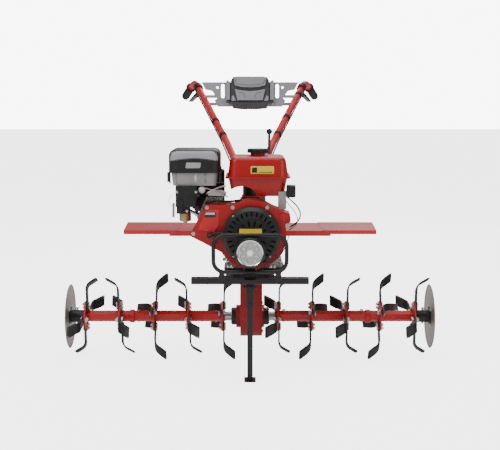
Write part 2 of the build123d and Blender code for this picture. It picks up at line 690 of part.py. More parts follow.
with BuildPart() as crossbar:
    with BuildSketch(across(-BAR_LENGTH / 2, BAR_Y, BAR_TOP_Z - BAR_HEIGHT / 2)):
        RectangleRounded(BAR_DEPTH, BAR_HEIGHT, 4)
        RectangleRounded(BAR_DEPTH - 2 * BAR_WALL, BAR_HEIGHT - 2 * BAR_WALL, 1.5, mode=Mode.SUBTRACT)
    extrude(amount=BAR_LENGTH)
    with Locations(*[place((s * BAR_HOLE_SPACING / 2, BAR_Y, BAR_TOP_Z - BAR_HEIGHT / 2)) for s in (1, -1)]):
        Cylinder(BAR_HOLE, 2 * BAR_HEIGHT, mode=Mode.SUBTRACT)

with BuildPart() as frame_with_bar:
    add([engine_frame.part, crossbar.part])
save(frame_with_bar, "engine_frame")

LOOP_BOTTOM_Z = BAR_TOP_Z + LOOP_GAP
LOOP_FOOT_X = 96.0
FOOT_PLATE = 5.0
FOOT_WIDE = 26.0

with BuildPart() as bumper_loop:
    half_width = (LOOP_WIDTH - LOOP_TUBE) / 2
    half_height = (LOOP_HEIGHT - LOOP_TUBE) / 2
    with BuildLine(facing(LOOP_Y, 0, LOOP_BOTTOM_Z + LOOP_HEIGHT / 2)) as loop_route:
        FilletPolyline(
            (0, -half_height),
            (half_width, -half_height),
            (half_width, half_height),
            (0, half_height),
            radius=LOOP_CORNER - LOOP_TUBE / 2,
        )
    with BuildSketch(Plane(origin=loop_route.line @ 0, z_dir=loop_route.line % 0)):
        Circle(LOOP_TUBE / 2)
    sweep(path=loop_route.line)
    mirror(about=Plane.YZ)
save(bumper_loop, "bumper_loop")

with BuildPart() as loop_feet:
    foot_back = BAR_Y + BAR_DEPTH / 2 - 4
    foot_front = LOOP_Y - LOOP_TUBE / 2
    for foot_side in (1, -1):
        with BuildSketch(level(BAR_TOP_Z, foot_side * LOOP_FOOT_X, (foot_back + foot_front) / 2)):
            RectangleRounded(FOOT_WIDE, foot_back - foot_front, 3)
        extrude(amount=FOOT_PLATE)
        with BuildSketch(level(BAR_TOP_Z + FOOT_PLATE, foot_side * LOOP_FOOT_X, LOOP_Y)):
            Rectangle(FOOT_WIDE * 0.7, LOOP_TUBE)
        extrude(amount=LOOP_GAP - FOOT_PLATE + LOOP_TUBE / 2)
        with BuildSketch(across(foot_side * LOOP_FOOT_X - FOOT_WIDE, LOOP_Y, LOOP_BOTTOM_Z + LOOP_TUBE / 2)):
            Circle(LOOP_TUBE / 2)
        extrude(amount=2 * FOOT_WIDE, mode=Mode.SUBTRACT)

with BuildPart() as lamp_bracket:
    with BuildSketch(level(BAR_TOP_Z, 0, (BAR_Y + LOOP_Y) / 2 - 4)):
        RectangleRounded(38, BAR_Y - LOOP_Y + 30, 4)
    extrude(amount=FOOT_PLATE)
    with BuildSketch(across(-17, LOOP_Y + 18, BAR_TOP_Z + FOOT_PLATE)):
        with Locations((0, (LAMP_Z - LAMP_RADIUS - BAR_TOP_Z) / 2)):
            Rectangle(FOOT_PLATE, LAMP_Z - LAMP_RADIUS - BAR_TOP_Z + 6)
    extrude(amount=34)
    with BuildSketch(facing(LAMP_FRONT, 0, LAMP_Z)):
        Circle(LAMP_RADIUS)
    extrude(amount=-LAMP_DEPTH, mode=Mode.SUBTRACT)
    with BuildSketch(level(BAR_TOP_Z + FOOT_PLATE, 0, BAR_Y)):
        RegularPolygon(9, 6)
    extrude(amount=8)

with BuildPart() as bumper_brackets:
    add([loop_feet.part, lamp_bracket.part])
save(bumper_brackets, "bumper_brackets")

BEZEL_DEPTH = 16.0
SHELL_RADIUS = 46.0
LENS_RADIUS = 42.0
LENS_THICKNESS = 3.0
CUP_COUNT = 6
CUP_RADIUS = 10.5
CUP_CIRCLE = 24.0

with BuildPart() as lamp_housing:
    with BuildSketch(facing(LAMP_FRONT, 0, LAMP_Z)):
        Circle(LAMP_RADIUS)
    extrude(amount=-BEZEL_DEPTH)
    with BuildSketch(facing(LAMP_FRONT + BEZEL_DEPTH, 0, LAMP_Z)):
        Circle(SHELL_RADIUS)
    extrude(amount=-(LAMP_DEPTH - BEZEL_DEPTH))
    fillet(lamp_housing.faces().sort_by(Axis.Y)[-1].edges(), 20)
    with BuildSketch(facing(LAMP_FRONT, 0, LAMP_Z)):
        Circle(LENS_RADIUS)
    extrude(amount=-(LAMP_DEPTH - 24), mode=Mode.SUBTRACT)

with BuildPart() as lamp_reflector:
    with BuildSketch(facing(LAMP_FRONT + 8, 0, LAMP_Z)):
        Circle(LENS_RADIUS)
    extrude(amount=-20)
    with BuildSketch(facing(LAMP_FRONT + 8, 0, LAMP_Z)):
        with PolarLocations(CUP_CIRCLE, CUP_COUNT, start_angle=90):
            Circle(CUP_RADIUS)
    extrude(amount=-14, taper=22, mode=Mode.SUBTRACT)

with BuildPart() as headlight_housing:
    add([lamp_housing.part, lamp_reflector.part])
save(headlight_housing, "headlight_housing")

with BuildPart() as lamp_lens:
    with BuildSketch(facing(LAMP_FRONT + 2, 0, LAMP_Z)):
        Circle(LENS_RADIUS)
    extrude(amount=-LENS_THICKNESS)
save(lamp_lens, "headlight_lens")

STAND_PIVOT_Z = BAR_TOP_Z - RAIL_HEIGHT - STAND_PIVOT_DROP
STAND_PIN = 5.0
EAR_THICKNESS = 5.0
EAR_GAP = STAND_SOCKET + 2 * SLIP
SOCKET_BOTTOM_Z = 268.0

with BuildPart() as stand_bracket:
    pin_half = EAR_GAP / 2 + EAR_THICKNESS
    for ear_side in (1, -1):
        with BuildSketch(across(ear_side * EAR_GAP / 2, STAND_Y, STAND_PIVOT_Z)):
            Circle(13)
            with Locations((0, STAND_PIVOT_DROP / 2)):
                Rectangle(26, STAND_PIVOT_DROP)
        extrude(amount=ear_side * EAR_THICKNESS)
    with BuildSketch(across(-pin_half - 5, STAND_Y, STAND_PIVOT_Z)):
        Circle(STAND_PIN)
    extrude(amount=2 * pin_half + 10)
save(stand_bracket, "stand_bracket")

with BuildPart() as stand_socket:
    with BuildSketch(level(SOCKET_BOTTOM_Z, 0, STAND_Y)):
        RectangleRounded(STAND_SOCKET, STAND_SOCKET, 3)
        RectangleRounded(STAND_TUBE, STAND_TUBE, 2, mode=Mode.SUBTRACT)
    extrude(amount=STAND_PIVOT_Z - SOCKET_BOTTOM_Z - 16)
    with BuildSketch(across(-STAND_SOCKET / 2, STAND_Y, STAND_PIVOT_Z)):
        Circle(STAND_SOCKET / 2)
        with Locations((0, -10)):
            Rectangle(STAND_SOCKET, 20)
    extrude(amount=STAND_SOCKET)
    with BuildSketch(across(-STAND_SOCKET, STAND_Y, STAND_PIVOT_Z)):
        Circle(STAND_PIN + RUNNING)
    extrude(amount=2 * STAND_SOCKET, mode=Mode.SUBTRACT)
    with BuildSketch(facing(STAND_Y - STAND_SOCKET, 0, SOCKET_BOTTOM_Z + 8)):
        Circle(PIN_RADIUS)
    extrude(amount=-2 * STAND_SOCKET, mode=Mode.SUBTRACT)
save(stand_socket, "stand_socket")

with BuildPart() as stand_leg:
    with BuildSketch(level(FOOT_THICKNESS, 0, STAND_Y)):
        RectangleRounded(STAND_TUBE, STAND_TUBE, 2)
        RectangleRounded(STAND_TUBE - 5, STAND_TUBE - 5, 1, mode=Mode.SUBTRACT)
    extrude(amount=STAND_PIVOT_Z - FOOT_THICKNESS - 20)
    with BuildSketch(level(0, 0, STAND_Y)):
        RectangleRounded(FOOT_WIDTH, FOOT_LENGTH, 6)
    extrude(amount=FOOT_THICKNESS)
    with BuildSketch(facing(STAND_Y - STAND_SOCKET, 0, SOCKET_BOTTOM_Z + 8)):
        Circle(PIN_RADIUS)
    extrude(amount=-2 * STAND_SOCKET, mode=Mode.SUBTRACT)

with BuildPart() as stand_pin:
    with BuildSketch(facing(STAND_Y - STAND_SOCKET / 2 - 4, 0, SOCKET_BOTTOM_Z + 8)):
        Circle(PIN_RADIUS)
    extrude(amount=-(STAND_SOCKET + 8))
    with BuildSketch(facing(STAND_Y - STAND_SOCKET / 2, 0, SOCKET_BOTTOM_Z + 8)):
        Circle(PIN_HEAD)
    extrude(amount=4)

with BuildPart() as pinned_leg:
    add([stand_leg.part, stand_pin.part])
save(pinned_leg, "stand_leg")

# ---------------------------------------------------------------- fenders
BRACKET_Z = FENDER_TOP_Z - 2 * FENDER_SHEET


def fender_panel(side, ends, top, flange, slant, inset):
    """A level sheet whose front and back edges are folded down."""
    front = FENDER_FRONT + inset
    back = FENDER_BACK - inset
    with BuildPart() as panel:
        with BuildSketch(level(top - FENDER_SHEET)):
            Polygon(
                (side * ends[0], front),
                (side * ends[1], front),
                (side * (ends[1] + slant), back),
                (side * ends[0], back),
                align=None,
            )
        extrude(amount=FENDER_SHEET)
        for fold_y in (front + FENDER_SHEET / 2, back - FENDER_SHEET / 2):
            with BuildSketch(level(top - FENDER_SHEET, side * (ends[0] + ends[1]) / 2, fold_y)):
                Rectangle(ends[1] - ends[0], FENDER_SHEET)
            extrude(amount=-flange)
    return panel.part


for side, word in SIDES:
    inner_top = FENDER_TOP_Z - FENDER_SHEET
    inner = fender_panel(side, FENDER_INNER, inner_top, FENDER_FLANGE + 5, 0, FENDER_SHEET + SLIP)
    outer = fender_panel(side, FENDER_OUTER, FENDER_TOP_Z, FENDER_FLANGE, FENDER_SLANT, 0)
    with BuildPart() as fenders:
        add([inner, outer])
    save(fenders, f"fenders_{word}")

with BuildPart() as fender_brackets:
    for side in (1, -1):
        inner = CASE_LEFT if side < 0 else COVER_OUT
        for bar_y in (-52.0, 46.0):
            with BuildSketch(level(BRACKET_Z, (inner + side * 440.0) / 2, bar_y)):
                Rectangle(abs(side * 440.0 - inner), FENDER_BAR)
            extrude(amount=-6)
save(fender_brackets, "fender_brackets")

# ---------------------------------------------------------------- engine
tilt_c, tilt_s = cos(radians(CYLINDER_TILT)), sin(radians(CYLINDER_TILT))
ENGINE_MID_Y = (CRANKCASE_FRONT + CRANKCASE_BACK) / 2
DECK = 82.0  # crank axis to the cylinder's mounting face
BARREL_TOP = 152.0
HEAD_TOP = 200.0
COVER_TOP = 232.0
FIN_PITCH = 8.5
FIN_THICKNESS = 2.6
CASE_LEFT_X = CRANK_X - 76.0
CASE_RIGHT_X = CRANK_X + 94.0
CRANKCASE_TOP_Z = CRANK_Z + 88.0


def cylinder_plane(distance):
    """Plane square to the cylinder's axis; its x runs back and its y runs down to the left."""
    origin = (CRANK_X - distance * tilt_c, AXLE_Y + ENGINE_MID_Y, CRANK_Z + distance * tilt_s)
    return Plane(origin=origin, x_dir=(0, 1, 0), z_dir=(-tilt_c, 0, tilt_s))


def crankcase_points(inset):
    """Front view of the crankcase, with its flat deck for the cylinder."""
    deck = DECK - inset
    deck_half = 56.0 - inset
    deck_x, deck_z = CRANK_X - deck * tilt_c, CRANK_Z + deck * tilt_s
    return [
        (CASE_LEFT_X + inset, ENGINE_BASE_Z + inset),
        (CASE_RIGHT_X - inset, ENGINE_BASE_Z + inset),
        (CASE_RIGHT_X - inset, CRANK_Z + 40.0),
        (CRANK_X + 52.0 - inset, CRANKCASE_TOP_Z - inset),
        (deck_x + deck_half * tilt_s, CRANKCASE_TOP_Z - inset),
        (deck_x + deck_half * tilt_s, deck_z + deck_half * tilt_c),
        (deck_x - deck_half * tilt_s, deck_z - deck_half * tilt_c),
        (CASE_LEFT_X + inset, CRANK_Z - 40.0),
    ]


with BuildPart() as crankcase:
    with BuildSketch(facing(CRANKCASE_BACK)):
        Polygon(*crankcase_points(0), align=None)
    extrude(amount=CRANKCASE_BACK - CRANKCASE_FRONT)
    for foot_x in (CASE_LEFT_X - 8, CASE_RIGHT_X - 12):
        with BuildSketch(level(ENGINE_BASE_Z, foot_x + 10, ENGINE_MID_Y)):
            Rectangle(40, CRANKCASE_BACK - CRANKCASE_FRONT)
        extrude(amount=14)
    with BuildSketch(facing(CRANKCASE_BACK)):
        Polygon(*crankcase_points(CRANKCASE_WALL), align=None)
    extrude(amount=CRANKCASE_BACK - CRANKCASE_FRONT - CRANKCASE_WALL, mode=Mode.SUBTRACT)
    with BuildSketch(facing(CRANKCASE_FRONT - 1, CRANK_X, CRANK_Z)):
        Circle(CRANK_RADIUS + RUNNING)
    extrude(amount=-2 * CRANKCASE_WALL, mode=Mode.SUBTRACT)
    with BuildSketch(cylinder_plane(DECK + 1)):
        Circle(BORE_RADIUS + 2)
    extrude(amount=-2 * CRANKCASE_WALL - 2, mode=Mode.SUBTRACT)
    with Locations(*[place((x, y, ENGINE_BASE_Z)) for x in FRAME_BOLT_X for y in FRAME_BOLT_Y]):
        Cylinder(BOLT_M8, 60, mode=Mode.SUBTRACT)

with BuildPart() as crankcase_cover:
    with BuildSketch(facing(CRANKCASE_BACK)):
        Polygon(*crankcase_points(0), align=None)
        with Locations((CRANK_X, CRANK_Z)):
            Circle(CRANK_RADIUS + RUNNING, mode=Mode.SUBTRACT)
    extrude(amount=-CRANKCASE_COVER)
save(crankcase_cover, "crankcase_cover")

CRANK_FRONT = SHROUD_FRONT + 6.0
CRANK_BACK = CRANKCASE_BACK + CRANKCASE_COVER + 12.0
WEB_RADIUS = 46.0
with BuildPart() as crankshaft:
    with BuildSketch(facing(CRANK_BACK, CRANK_X, CRANK_Z)):
        Circle(CRANK_RADIUS)
    extrude(amount=CRANK_BACK - CRANK_FRONT)
    for web_y in (ENGINE_MID_Y - 26, ENGINE_MID_Y + 14):
        with BuildSketch(facing(web_y + 12, CRANK_X, CRANK_Z)):
            Circle(WEB_RADIUS)
            with Locations((WEB_RADIUS, 0)):
                Rectangle(WEB_RADIUS, 2 * WEB_RADIUS, mode=Mode.SUBTRACT)
        extrude(amount=12)
    with BuildSketch(facing(CRANK_BACK, CRANK_X, CRANK_Z)):
        Circle(CLUTCH_RADIUS)
    extrude(amount=CLUTCH_PLATE)

FAN_FRONT = SHROUD_FRONT + 8.0
FAN_DEPTH = 46.0
FAN_RADIUS = 96.0
BLADE_COUNT = 16
with BuildPart() as flywheel:
    with BuildSketch(facing(FAN_FRONT + FAN_DEPTH, CRANK_X, CRANK_Z)):
        Circle(FAN_RADIUS)
        Circle(CRANK_RADIUS, mode=Mode.SUBTRACT)
    extrude(amount=22)
    with BuildSketch(facing(FAN_FRONT + FAN_DEPTH - 22, CRANK_X, CRANK_Z)):
        with PolarLocations(FAN_RADIUS * 0.72, BLADE_COUNT):
            Rectangle(FAN_RADIUS * 0.42, 3, rotation=28)
    extrude(amount=FAN_DEPTH - 22)

with BuildPart() as crank_and_flywheel:
    add([crankshaft.part, flywheel.part])
save(crank_and_flywheel, "crankshaft_flywheel")


def fin_stack(first, last, half):
    """Square cooling fins around the cylinder, between two distances from the crank."""
    count = int((last - first) / FIN_PITCH)
    with BuildPart() as fins:
        for index in range(count):
            with BuildSketch(cylinder_plane(first + 6 + FIN_PITCH * index)):
                RectangleRounded(2 * half, 2 * half * 0.92, 12)
            extrude(amount=FIN_THICKNESS)
    return fins.part


with BuildPart() as cylinder_barrel:
    with BuildSketch(cylinder_plane(DECK)):
        Circle(BARREL_RADIUS)
    extrude(amount=BARREL_TOP - DECK)
    add(fin_stack(DECK, BARREL_TOP, FIN_HALF - 4))
    with BuildSketch(cylinder_plane(DECK)):
        Circle(BORE_RADIUS)
    extrude(amount=BARREL_TOP - DECK, mode=Mode.SUBTRACT)

with BuildPart() as cylinder_head:
    with BuildSketch(cylinder_plane(BARREL_TOP)):
        RectangleRounded(2 * BARREL_RADIUS - 8, 2 * BARREL_RADIUS - 16, 10)
    extrude(amount=HEAD_TOP - BARREL_TOP)
    add(fin_stack(BARREL_TOP, HEAD_TOP, FIN_HALF - 6))
    with BuildSketch(cylinder_plane(BARREL_TOP)):
        Circle(BORE_RADIUS - 6)
    extrude(amount=10, mode=Mode.SUBTRACT)
    with BuildSketch(cylinder_plane(HEAD_TOP)):
        with Locations((0, 34)):
            Circle(6)
    extrude(amount=-26, mode=Mode.SUBTRACT)
save(cylinder_head, "cylinder_head")

with BuildPart() as valve_cover:
    with BuildSketch(cylinder_plane(HEAD_TOP)):
        with Locations((0, -12)):
            RectangleRounded(86, 60, 12)
    extrude(amount=COVER_TOP - HEAD_TOP)
    fillet(valve_cover.faces().sort_by(Axis.X)[0].edges(), 6)
    with BuildSketch(cylinder_plane(HEAD_TOP)):
        with Locations((0, -12)):
            RectangleRounded(80, 54, 9)
    extrude(amount=COVER_TOP - HEAD_TOP - 8, mode=Mode.SUBTRACT)
save(valve_cover, "valve_cover")

with BuildPart() as spark_plug:
    with BuildSketch(cylinder_plane(HEAD_TOP - 26)):
        with Locations((0, 34)):
            Circle(6)
    extrude(amount=26)
    with BuildSketch(cylinder_plane(HEAD_TOP)):
        with Locations((0, 34)):
            RegularPolygon(10, 6)
    extrude(amount=9)
    with BuildSketch(cylinder_plane(HEAD_TOP + 9)):
        with Locations((0, 34)):
            Circle(6.5)
    extrude(amount=30)
save(spark_plug, "spark_plug")

# Fan shroud: a round cowl with a duct that carries the air up over the cylinder.
DUCT_TOP_Z = CRANK_Z + 105.0
DUCT_LEFT_TOP = -155.0
DUCT_LEFT = -211.0
DUCT_LOW_Z = CRANK_Z - 2.0


def shroud_outline(inset):
    """Front view of the shroud."""
    with Locations((CRANK_X, CRANK_Z)):
        Circle(SHROUD_RADIUS - inset)
    Polygon(
        (CRANK_X, DUCT_TOP_Z - inset),
        (DUCT_LEFT_TOP + 0.5 * inset, DUCT_TOP_Z - inset),
        (DUCT_LEFT + 1.1 * inset, DUCT_LOW_Z + 0.8 * inset),
        (CRANK_X - SHROUD_RADIUS * 0.86 + inset, CRANK_Z - SHROUD_RADIUS * 0.5 + inset),
        (CRANK_X, CRANK_Z),
        align=None,
    )
    Polygon(
        (CRANK_X + 60, CRANK_Z + 104 - inset),
        (CRANK_X + 134 - inset, CRANK_Z + 74 - inset),
        (CRANK_X + 137 - inset, CRANK_Z + 48 + inset),
        (CRANK_X + 116 - inset, CRANK_Z + 30),
        (CRANK_X + 60, CRANK_Z),
        align=None,
    )


with BuildPart() as fan_shroud:
    with BuildSketch(facing(SHROUD_BACK)):
        shroud_outline(0)
    extrude(amount=SHROUD_BACK - SHROUD_FRONT)
    with BuildSketch(facing(SHROUD_BACK)):
        shroud_outline(SHROUD_WALL)
    extrude(amount=SHROUD_BACK - SHROUD_FRONT - SHROUD_WALL, mode=Mode.SUBTRACT)
    with BuildSketch(facing(SHROUD_FRONT + SHROUD_WALL + 1, CRANK_X, CRANK_Z)):
        Circle(RECOIL_RADIUS - 6)
    extrude(amount=SHROUD_WALL + 2, mode=Mode.SUBTRACT)
save(fan_shroud, "fan_shroud")

RECOIL_WALL = 2.5
SLOT_COUNT = 28
RECOIL_FLAT = -97.0
ROPE_GUIDE_X = -124.0
ROPE_Y = SHROUD_FRONT - 18.0
ROPE_HOLE = 3.0
ROPE_EXIT_Z = CRANK_Z + 4.0
with BuildPart() as recoil_cover:
    with BuildSketch(facing(SHROUD_FRONT, CRANK_X, CRANK_Z)):
        Circle(RECOIL_RADIUS)
    extrude(amount=RECOIL_DEPTH)
    chamfer(recoil_cover.faces().sort_by(Axis.Y)[0].edges(), 12)
    with BuildSketch(facing(SHROUD_FRONT, CRANK_X, CRANK_Z)):
        Circle(RECOIL_RADIUS - RECOIL_WALL)
    extrude(amount=RECOIL_DEPTH - 14, mode=Mode.SUBTRACT)
    with BuildSketch(facing(SHROUD_FRONT - 10, CRANK_X, CRANK_Z)):
        Circle(RECOIL_RADIUS - 16)
    extrude(amount=RECOIL_DEPTH - 10 - RECOIL_WALL, mode=Mode.SUBTRACT)
    with BuildSketch(facing(SHROUD_FRONT, CRANK_X, CRANK_Z)):
        with PolarLocations(RECOIL_RADIUS - 26, SLOT_COUNT):
            SlotOverall(22, 5)
        with PolarLocations(RECOIL_RADIUS - 56, SLOT_COUNT // 2):
            SlotOverall(22, 5)
    extrude(amount=RECOIL_DEPTH + 2, mode=Mode.SUBTRACT)
    with BuildSketch(facing(SHROUD_FRONT, RECOIL_FLAT - 10, CRANK_Z)):
        Rectangle(20, 2 * RECOIL_RADIUS)
    extrude(amount=RECOIL_DEPTH + 2, mode=Mode.SUBTRACT)
    with BuildSketch(facing(SHROUD_FRONT, CRANK_X, CRANK_Z)):
        Circle(8)
    extrude(amount=RECOIL_DEPTH - RECOIL_WALL)
    with BuildSketch(across(ROPE_GUIDE_X, ROPE_Y, ROPE_EXIT_Z)):
        RectangleRounded(24, 20, 4)
    extrude(amount=RECOIL_FLAT - ROPE_GUIDE_X + 4)
    with BuildSketch(across(ROPE_GUIDE_X, ROPE_Y, ROPE_EXIT_Z)):
        Circle(ROPE_HOLE)
    extrude(amount=60, mode=Mode.SUBTRACT)
save(recoil_cover, "recoil_cover")

PULLEY_RADIUS = 58.0
with BuildPart() as starter_pulley:
    with BuildSketch(facing(SHROUD_FRONT - 12, CRANK_X, CRANK_Z)):
        Circle(PULLEY_RADIUS)
        Circle(8 + RUNNING, mode=Mode.SUBTRACT)
    extrude(amount=14)
    with BuildSketch(facing(SHROUD_FRONT - 17, CRANK_X, CRANK_Z)):
        Circle(PULLEY_RADIUS + 1)
        Circle(PULLEY_RADIUS - 5, mode=Mode.SUBTRACT)
    extrude(amount=4, mode=Mode.SUBTRACT)
save(starter_pulley, "starter_pulley")

with BuildPart() as recoil_grip:
    with BuildSketch(across(ROPE_GUIDE_X - SLIP, ROPE_Y, ROPE_EXIT_Z)):
        SlotOverall(20, 12)
    extrude(amount=-9)
    with BuildSketch(across(ROPE_GUIDE_X - SLIP - 9, ROPE_Y, ROPE_EXIT_Z)):
        with Locations((-20, 0)):
            SlotOverall(58, 15)
    extrude(amount=-16)
    fillet(recoil_grip.faces().sort_by(Axis.X)[0].edges(), 5)
save(recoil_grip, "recoil_grip")

# ---------------------------------------------------------------- fuel tank
with BuildPart() as tank_outside:
    with BuildSketch(level(TANK_SEAM_Z, TANK_X, TANK_Y)):
        RectangleRounded(2 * TANK_HALF_X, 2 * TANK_HALF_Y, 34)
    extrude(amount=TANK_TOP_Z - TANK_SEAM_Z, taper=8)
    fillet(tank_outside.faces().sort_by(Axis.Z)[-1].edges(), 18)
    with BuildSketch(level(TANK_SEAM_Z, TANK_X, TANK_Y)):
        RectangleRounded(2 * TANK_HALF_X - 6, 2 * TANK_HALF_Y - 6, 32)
    extrude(amount=TANK_BOTTOM_Z - TANK_SEAM_Z, taper=12)
    with BuildSketch(facing(TANK_Y - TANK_HALF_Y, TANK_X - TANK_HALF_X + 52, TANK_BOTTOM_Z - 26)):
        Circle(62)
    extrude(amount=-2 * TANK_HALF_Y, mode=Mode.SUBTRACT)

with BuildPart() as fuel_tank:
    add(tank_outside.part)
    with BuildSketch(level(TANK_SEAM_Z - TANK_FLANGE / 2, TANK_X, TANK_Y)):
        RectangleRounded(2 * TANK_HALF_X + 14, 2 * TANK_HALF_Y + 14, 40)
    extrude(amount=TANK_FLANGE)
    with BuildSketch(level(TANK_TOP_Z - 3, TANK_X, TANK_Y)):
        Circle(NECK_RADIUS)
    extrude(amount=NECK_HEIGHT + 3)
    add(offset(tank_outside.part, amount=-TANK_WALL, mode=Mode.PRIVATE), mode=Mode.SUBTRACT)
    with BuildSketch(level(TANK_TOP_Z - 6, TANK_X, TANK_Y)):
        Circle(NECK_RADIUS - 3)
    extrude(amount=NECK_HEIGHT + 10, mode=Mode.SUBTRACT)
save(fuel_tank, "fuel_tank")

SADDLE_X = 40.0
SADDLE_WIDTH = 66.0
SADDLE_PLATE = 3.0
with BuildPart() as tank_brackets:
    with BuildSketch(level(TANK_BOTTOM_Z - SADDLE_PLATE, SADDLE_X + SADDLE_WIDTH / 2, ENGINE_MID_Y)):
        RectangleRounded(SADDLE_WIDTH, 120, 5)
    extrude(amount=SADDLE_PLATE)
    for post_y in (ENGINE_MID_Y - 45, ENGINE_MID_Y + 45):
        with BuildSketch(level(CRANKCASE_TOP_Z, SADDLE_X + 8, post_y)):
            Rectangle(16, 20)
        extrude(amount=TANK_BOTTOM_Z - CRANKCASE_TOP_Z - SADDLE_PLATE)

with BuildPart() as engine_block:
    add([crankcase.part, cylinder_barrel.part, tank_brackets.part])
save(engine_block, "engine_block")

with BuildPart() as tank_cap:
    with BuildSketch(level(TANK_TOP_Z + NECK_HEIGHT + SLIP, TANK_X, TANK_Y)):
        Circle(CAP_RADIUS)
    extrude(amount=CAP_HEIGHT)
    fillet(tank_cap.faces().sort_by(Axis.Z)[-1].edges(), 4)
    with BuildSketch(level(TANK_TOP_Z + NECK_HEIGHT + SLIP, TANK_X, TANK_Y)):
        with PolarLocations(CAP_RADIUS + 1.2, 18):
            Circle(2.4, mode=Mode.ADD)
    extrude(amount=CAP_HEIGHT, mode=Mode.SUBTRACT)
    with BuildSketch(level(TANK_TOP_Z + 3, TANK_X, TANK_Y)):
        Circle(NECK_RADIUS - 3 - SLIP)
    extrude(amount=NECK_HEIGHT)
save(tank_cap, "tank_cap")

# ---------------------------------------------------------------- air cleaner and carburettor
CLEANER_MID_Y = (CLEANER_FRONT + CLEANER_BACK) / 2
CLEANER_HALF_Y = (CLEANER_BACK - CLEANER_FRONT) / 2
BOWL_WALL = 2.0
LID_WALL = 2.5

with BuildPart() as air_cleaner_bowl:
    with BuildSketch(level(CLEANER_LID_Z, CLEANER_X, CLEANER_MID_Y)):
        RectangleRounded(2 * CLEANER_HALF_X - 18, 2 * CLEANER_HALF_Y - 18, 24)
    extrude(amount=CLEANER_BOWL_Z - CLEANER_LID_Z, taper=6)
    with BuildSketch(level(CLEANER_LID_Z, CLEANER_X, CLEANER_MID_Y)):
        RectangleRounded(2 * CLEANER_HALF_X - 18 - 2 * BOWL_WALL, 2 * CLEANER_HALF_Y - 18 - 2 * BOWL_WALL, 22)
    extrude(amount=CLEANER_BOWL_Z - CLEANER_LID_Z + BOWL_WALL, taper=6, mode=Mode.SUBTRACT)
save(air_cleaner_bowl, "air_cleaner_bowl")

with BuildPart() as air_cleaner_lid:
    with BuildSketch(level(CLEANER_LID_Z, CLEANER_X, CLEANER_MID_Y)):
        RectangleRounded(2 * CLEANER_HALF_X, 2 * CLEANER_HALF_Y, 30)
    extrude(amount=CLEANER_TOP_Z - CLEANER_LID_Z)
    fillet(air_cleaner_lid.faces().sort_by(Axis.Z)[-1].edges(), 22)
    with BuildSketch(level(CLEANER_LID_Z, CLEANER_X, CLEANER_MID_Y)):
        RectangleRounded(2 * CLEANER_HALF_X - 2 * LID_WALL, 2 * CLEANER_HALF_Y - 2 * LID_WALL, 27)
    extrude(amount=CLEANER_TOP_Z - CLEANER_LID_Z - 22 - LID_WALL, mode=Mode.SUBTRACT)
    with BuildSketch(level(CLEANER_LID_Z, CLEANER_X, CLEANER_MID_Y)):
        RectangleRounded(2 * CLEANER_HALF_X - 34, 2 * CLEANER_HALF_Y - 34, 15)
    extrude(amount=CLEANER_TOP_Z - CLEANER_LID_Z - 2 * LID_WALL, mode=Mode.SUBTRACT)

with BuildPart() as filter_element:
    with BuildSketch(level(CLEANER_BOWL_Z + BOWL_WALL, CLEANER_X, CLEANER_MID_Y)):
        Circle(58)
        Circle(34, mode=Mode.SUBTRACT)
    extrude(amount=78)
save(filter_element, "filter_element")

CLIP_WIDTH = 24.0
with BuildPart() as cleaner_clips:
    for clip_side in (1, -1):
        clip_x = CLEANER_X + clip_side * (CLEANER_HALF_X + 2)
        with BuildSketch(facing(CLEANER_MID_Y + CLIP_WIDTH / 2, clip_x, CLEANER_LID_Z - 14)):
            Rectangle(4, 62)
        extrude(amount=CLIP_WIDTH)

with BuildPart() as clipped_lid:
    add([air_cleaner_lid.part, cleaner_clips.part])
save(clipped_lid, "air_cleaner_lid")

CARB_LEFT = -262.0
CARB_RIGHT = -186.0
CARB_FRONT = -340.0
CARB_BACK = -264.0
CARB_BOTTOM_Z = 596.0
with BuildPart() as carburettor:
    with BuildSketch(level(CLEANER_BOWL_Z, (CARB_LEFT + CARB_RIGHT) / 2, (CARB_FRONT + CARB_BACK) / 2)):
        RectangleRounded(CARB_RIGHT - CARB_LEFT, CARB_BACK - CARB_FRONT, 9)
    extrude(amount=CARB_BOTTOM_Z + 24 - CLEANER_BOWL_Z)
    with BuildSketch(level(CARB_BOTTOM_Z, CARB_LEFT + 26, (CARB_FRONT + CARB_BACK) / 2)):
        RectangleRounded(46, CARB_BACK - CARB_FRONT - 10, 7)
    extrude(amount=24)

FUEL_BOWL_X = -230.0
with BuildPart() as sediment_bowl:
    with BuildSketch(level(CARB_BOTTOM_Z, FUEL_BOWL_X, (CARB_FRONT + CARB_BACK) / 2)):
        Circle(21)
    extrude(amount=-30)
    fillet(sediment_bowl.faces().sort_by(Axis.Z)[0].edges(), 6)
    with BuildSketch(level(CARB_BOTTOM_Z - 30, FUEL_BOWL_X, (CARB_FRONT + CARB_BACK) / 2)):
        RegularPolygon(8, 6)
    extrude(amount=-6)
save(sediment_bowl, "sediment_bowl")

with BuildPart() as choke_lever:
    with BuildSketch(facing(CARB_FRONT - SLIP, CARB_RIGHT - 22, CARB_BOTTOM_Z + 62)):
        Circle(6)
        with Locations((14, 3)):
            SlotOverall(38, 8, rotation=10)
    extrude(amount=3)
    with BuildSketch(facing(CARB_FRONT - SLIP - 3, CARB_RIGHT + 4, CARB_BOTTOM_Z + 67)):
        Circle(6)
    extrude(amount=10)
save(choke_lever, "choke_lever")

with BuildPart() as fuel_tap_lever:
    with BuildSketch(facing(CARB_FRONT - SLIP, CARB_LEFT + 18, CARB_BOTTOM_Z + 44)):
        Circle(7)
        with Locations((2, -14)):
            SlotOverall(36, 9, rotation=80)
    extrude(amount=5)
save(fuel_tap_lever, "fuel_tap_lever")

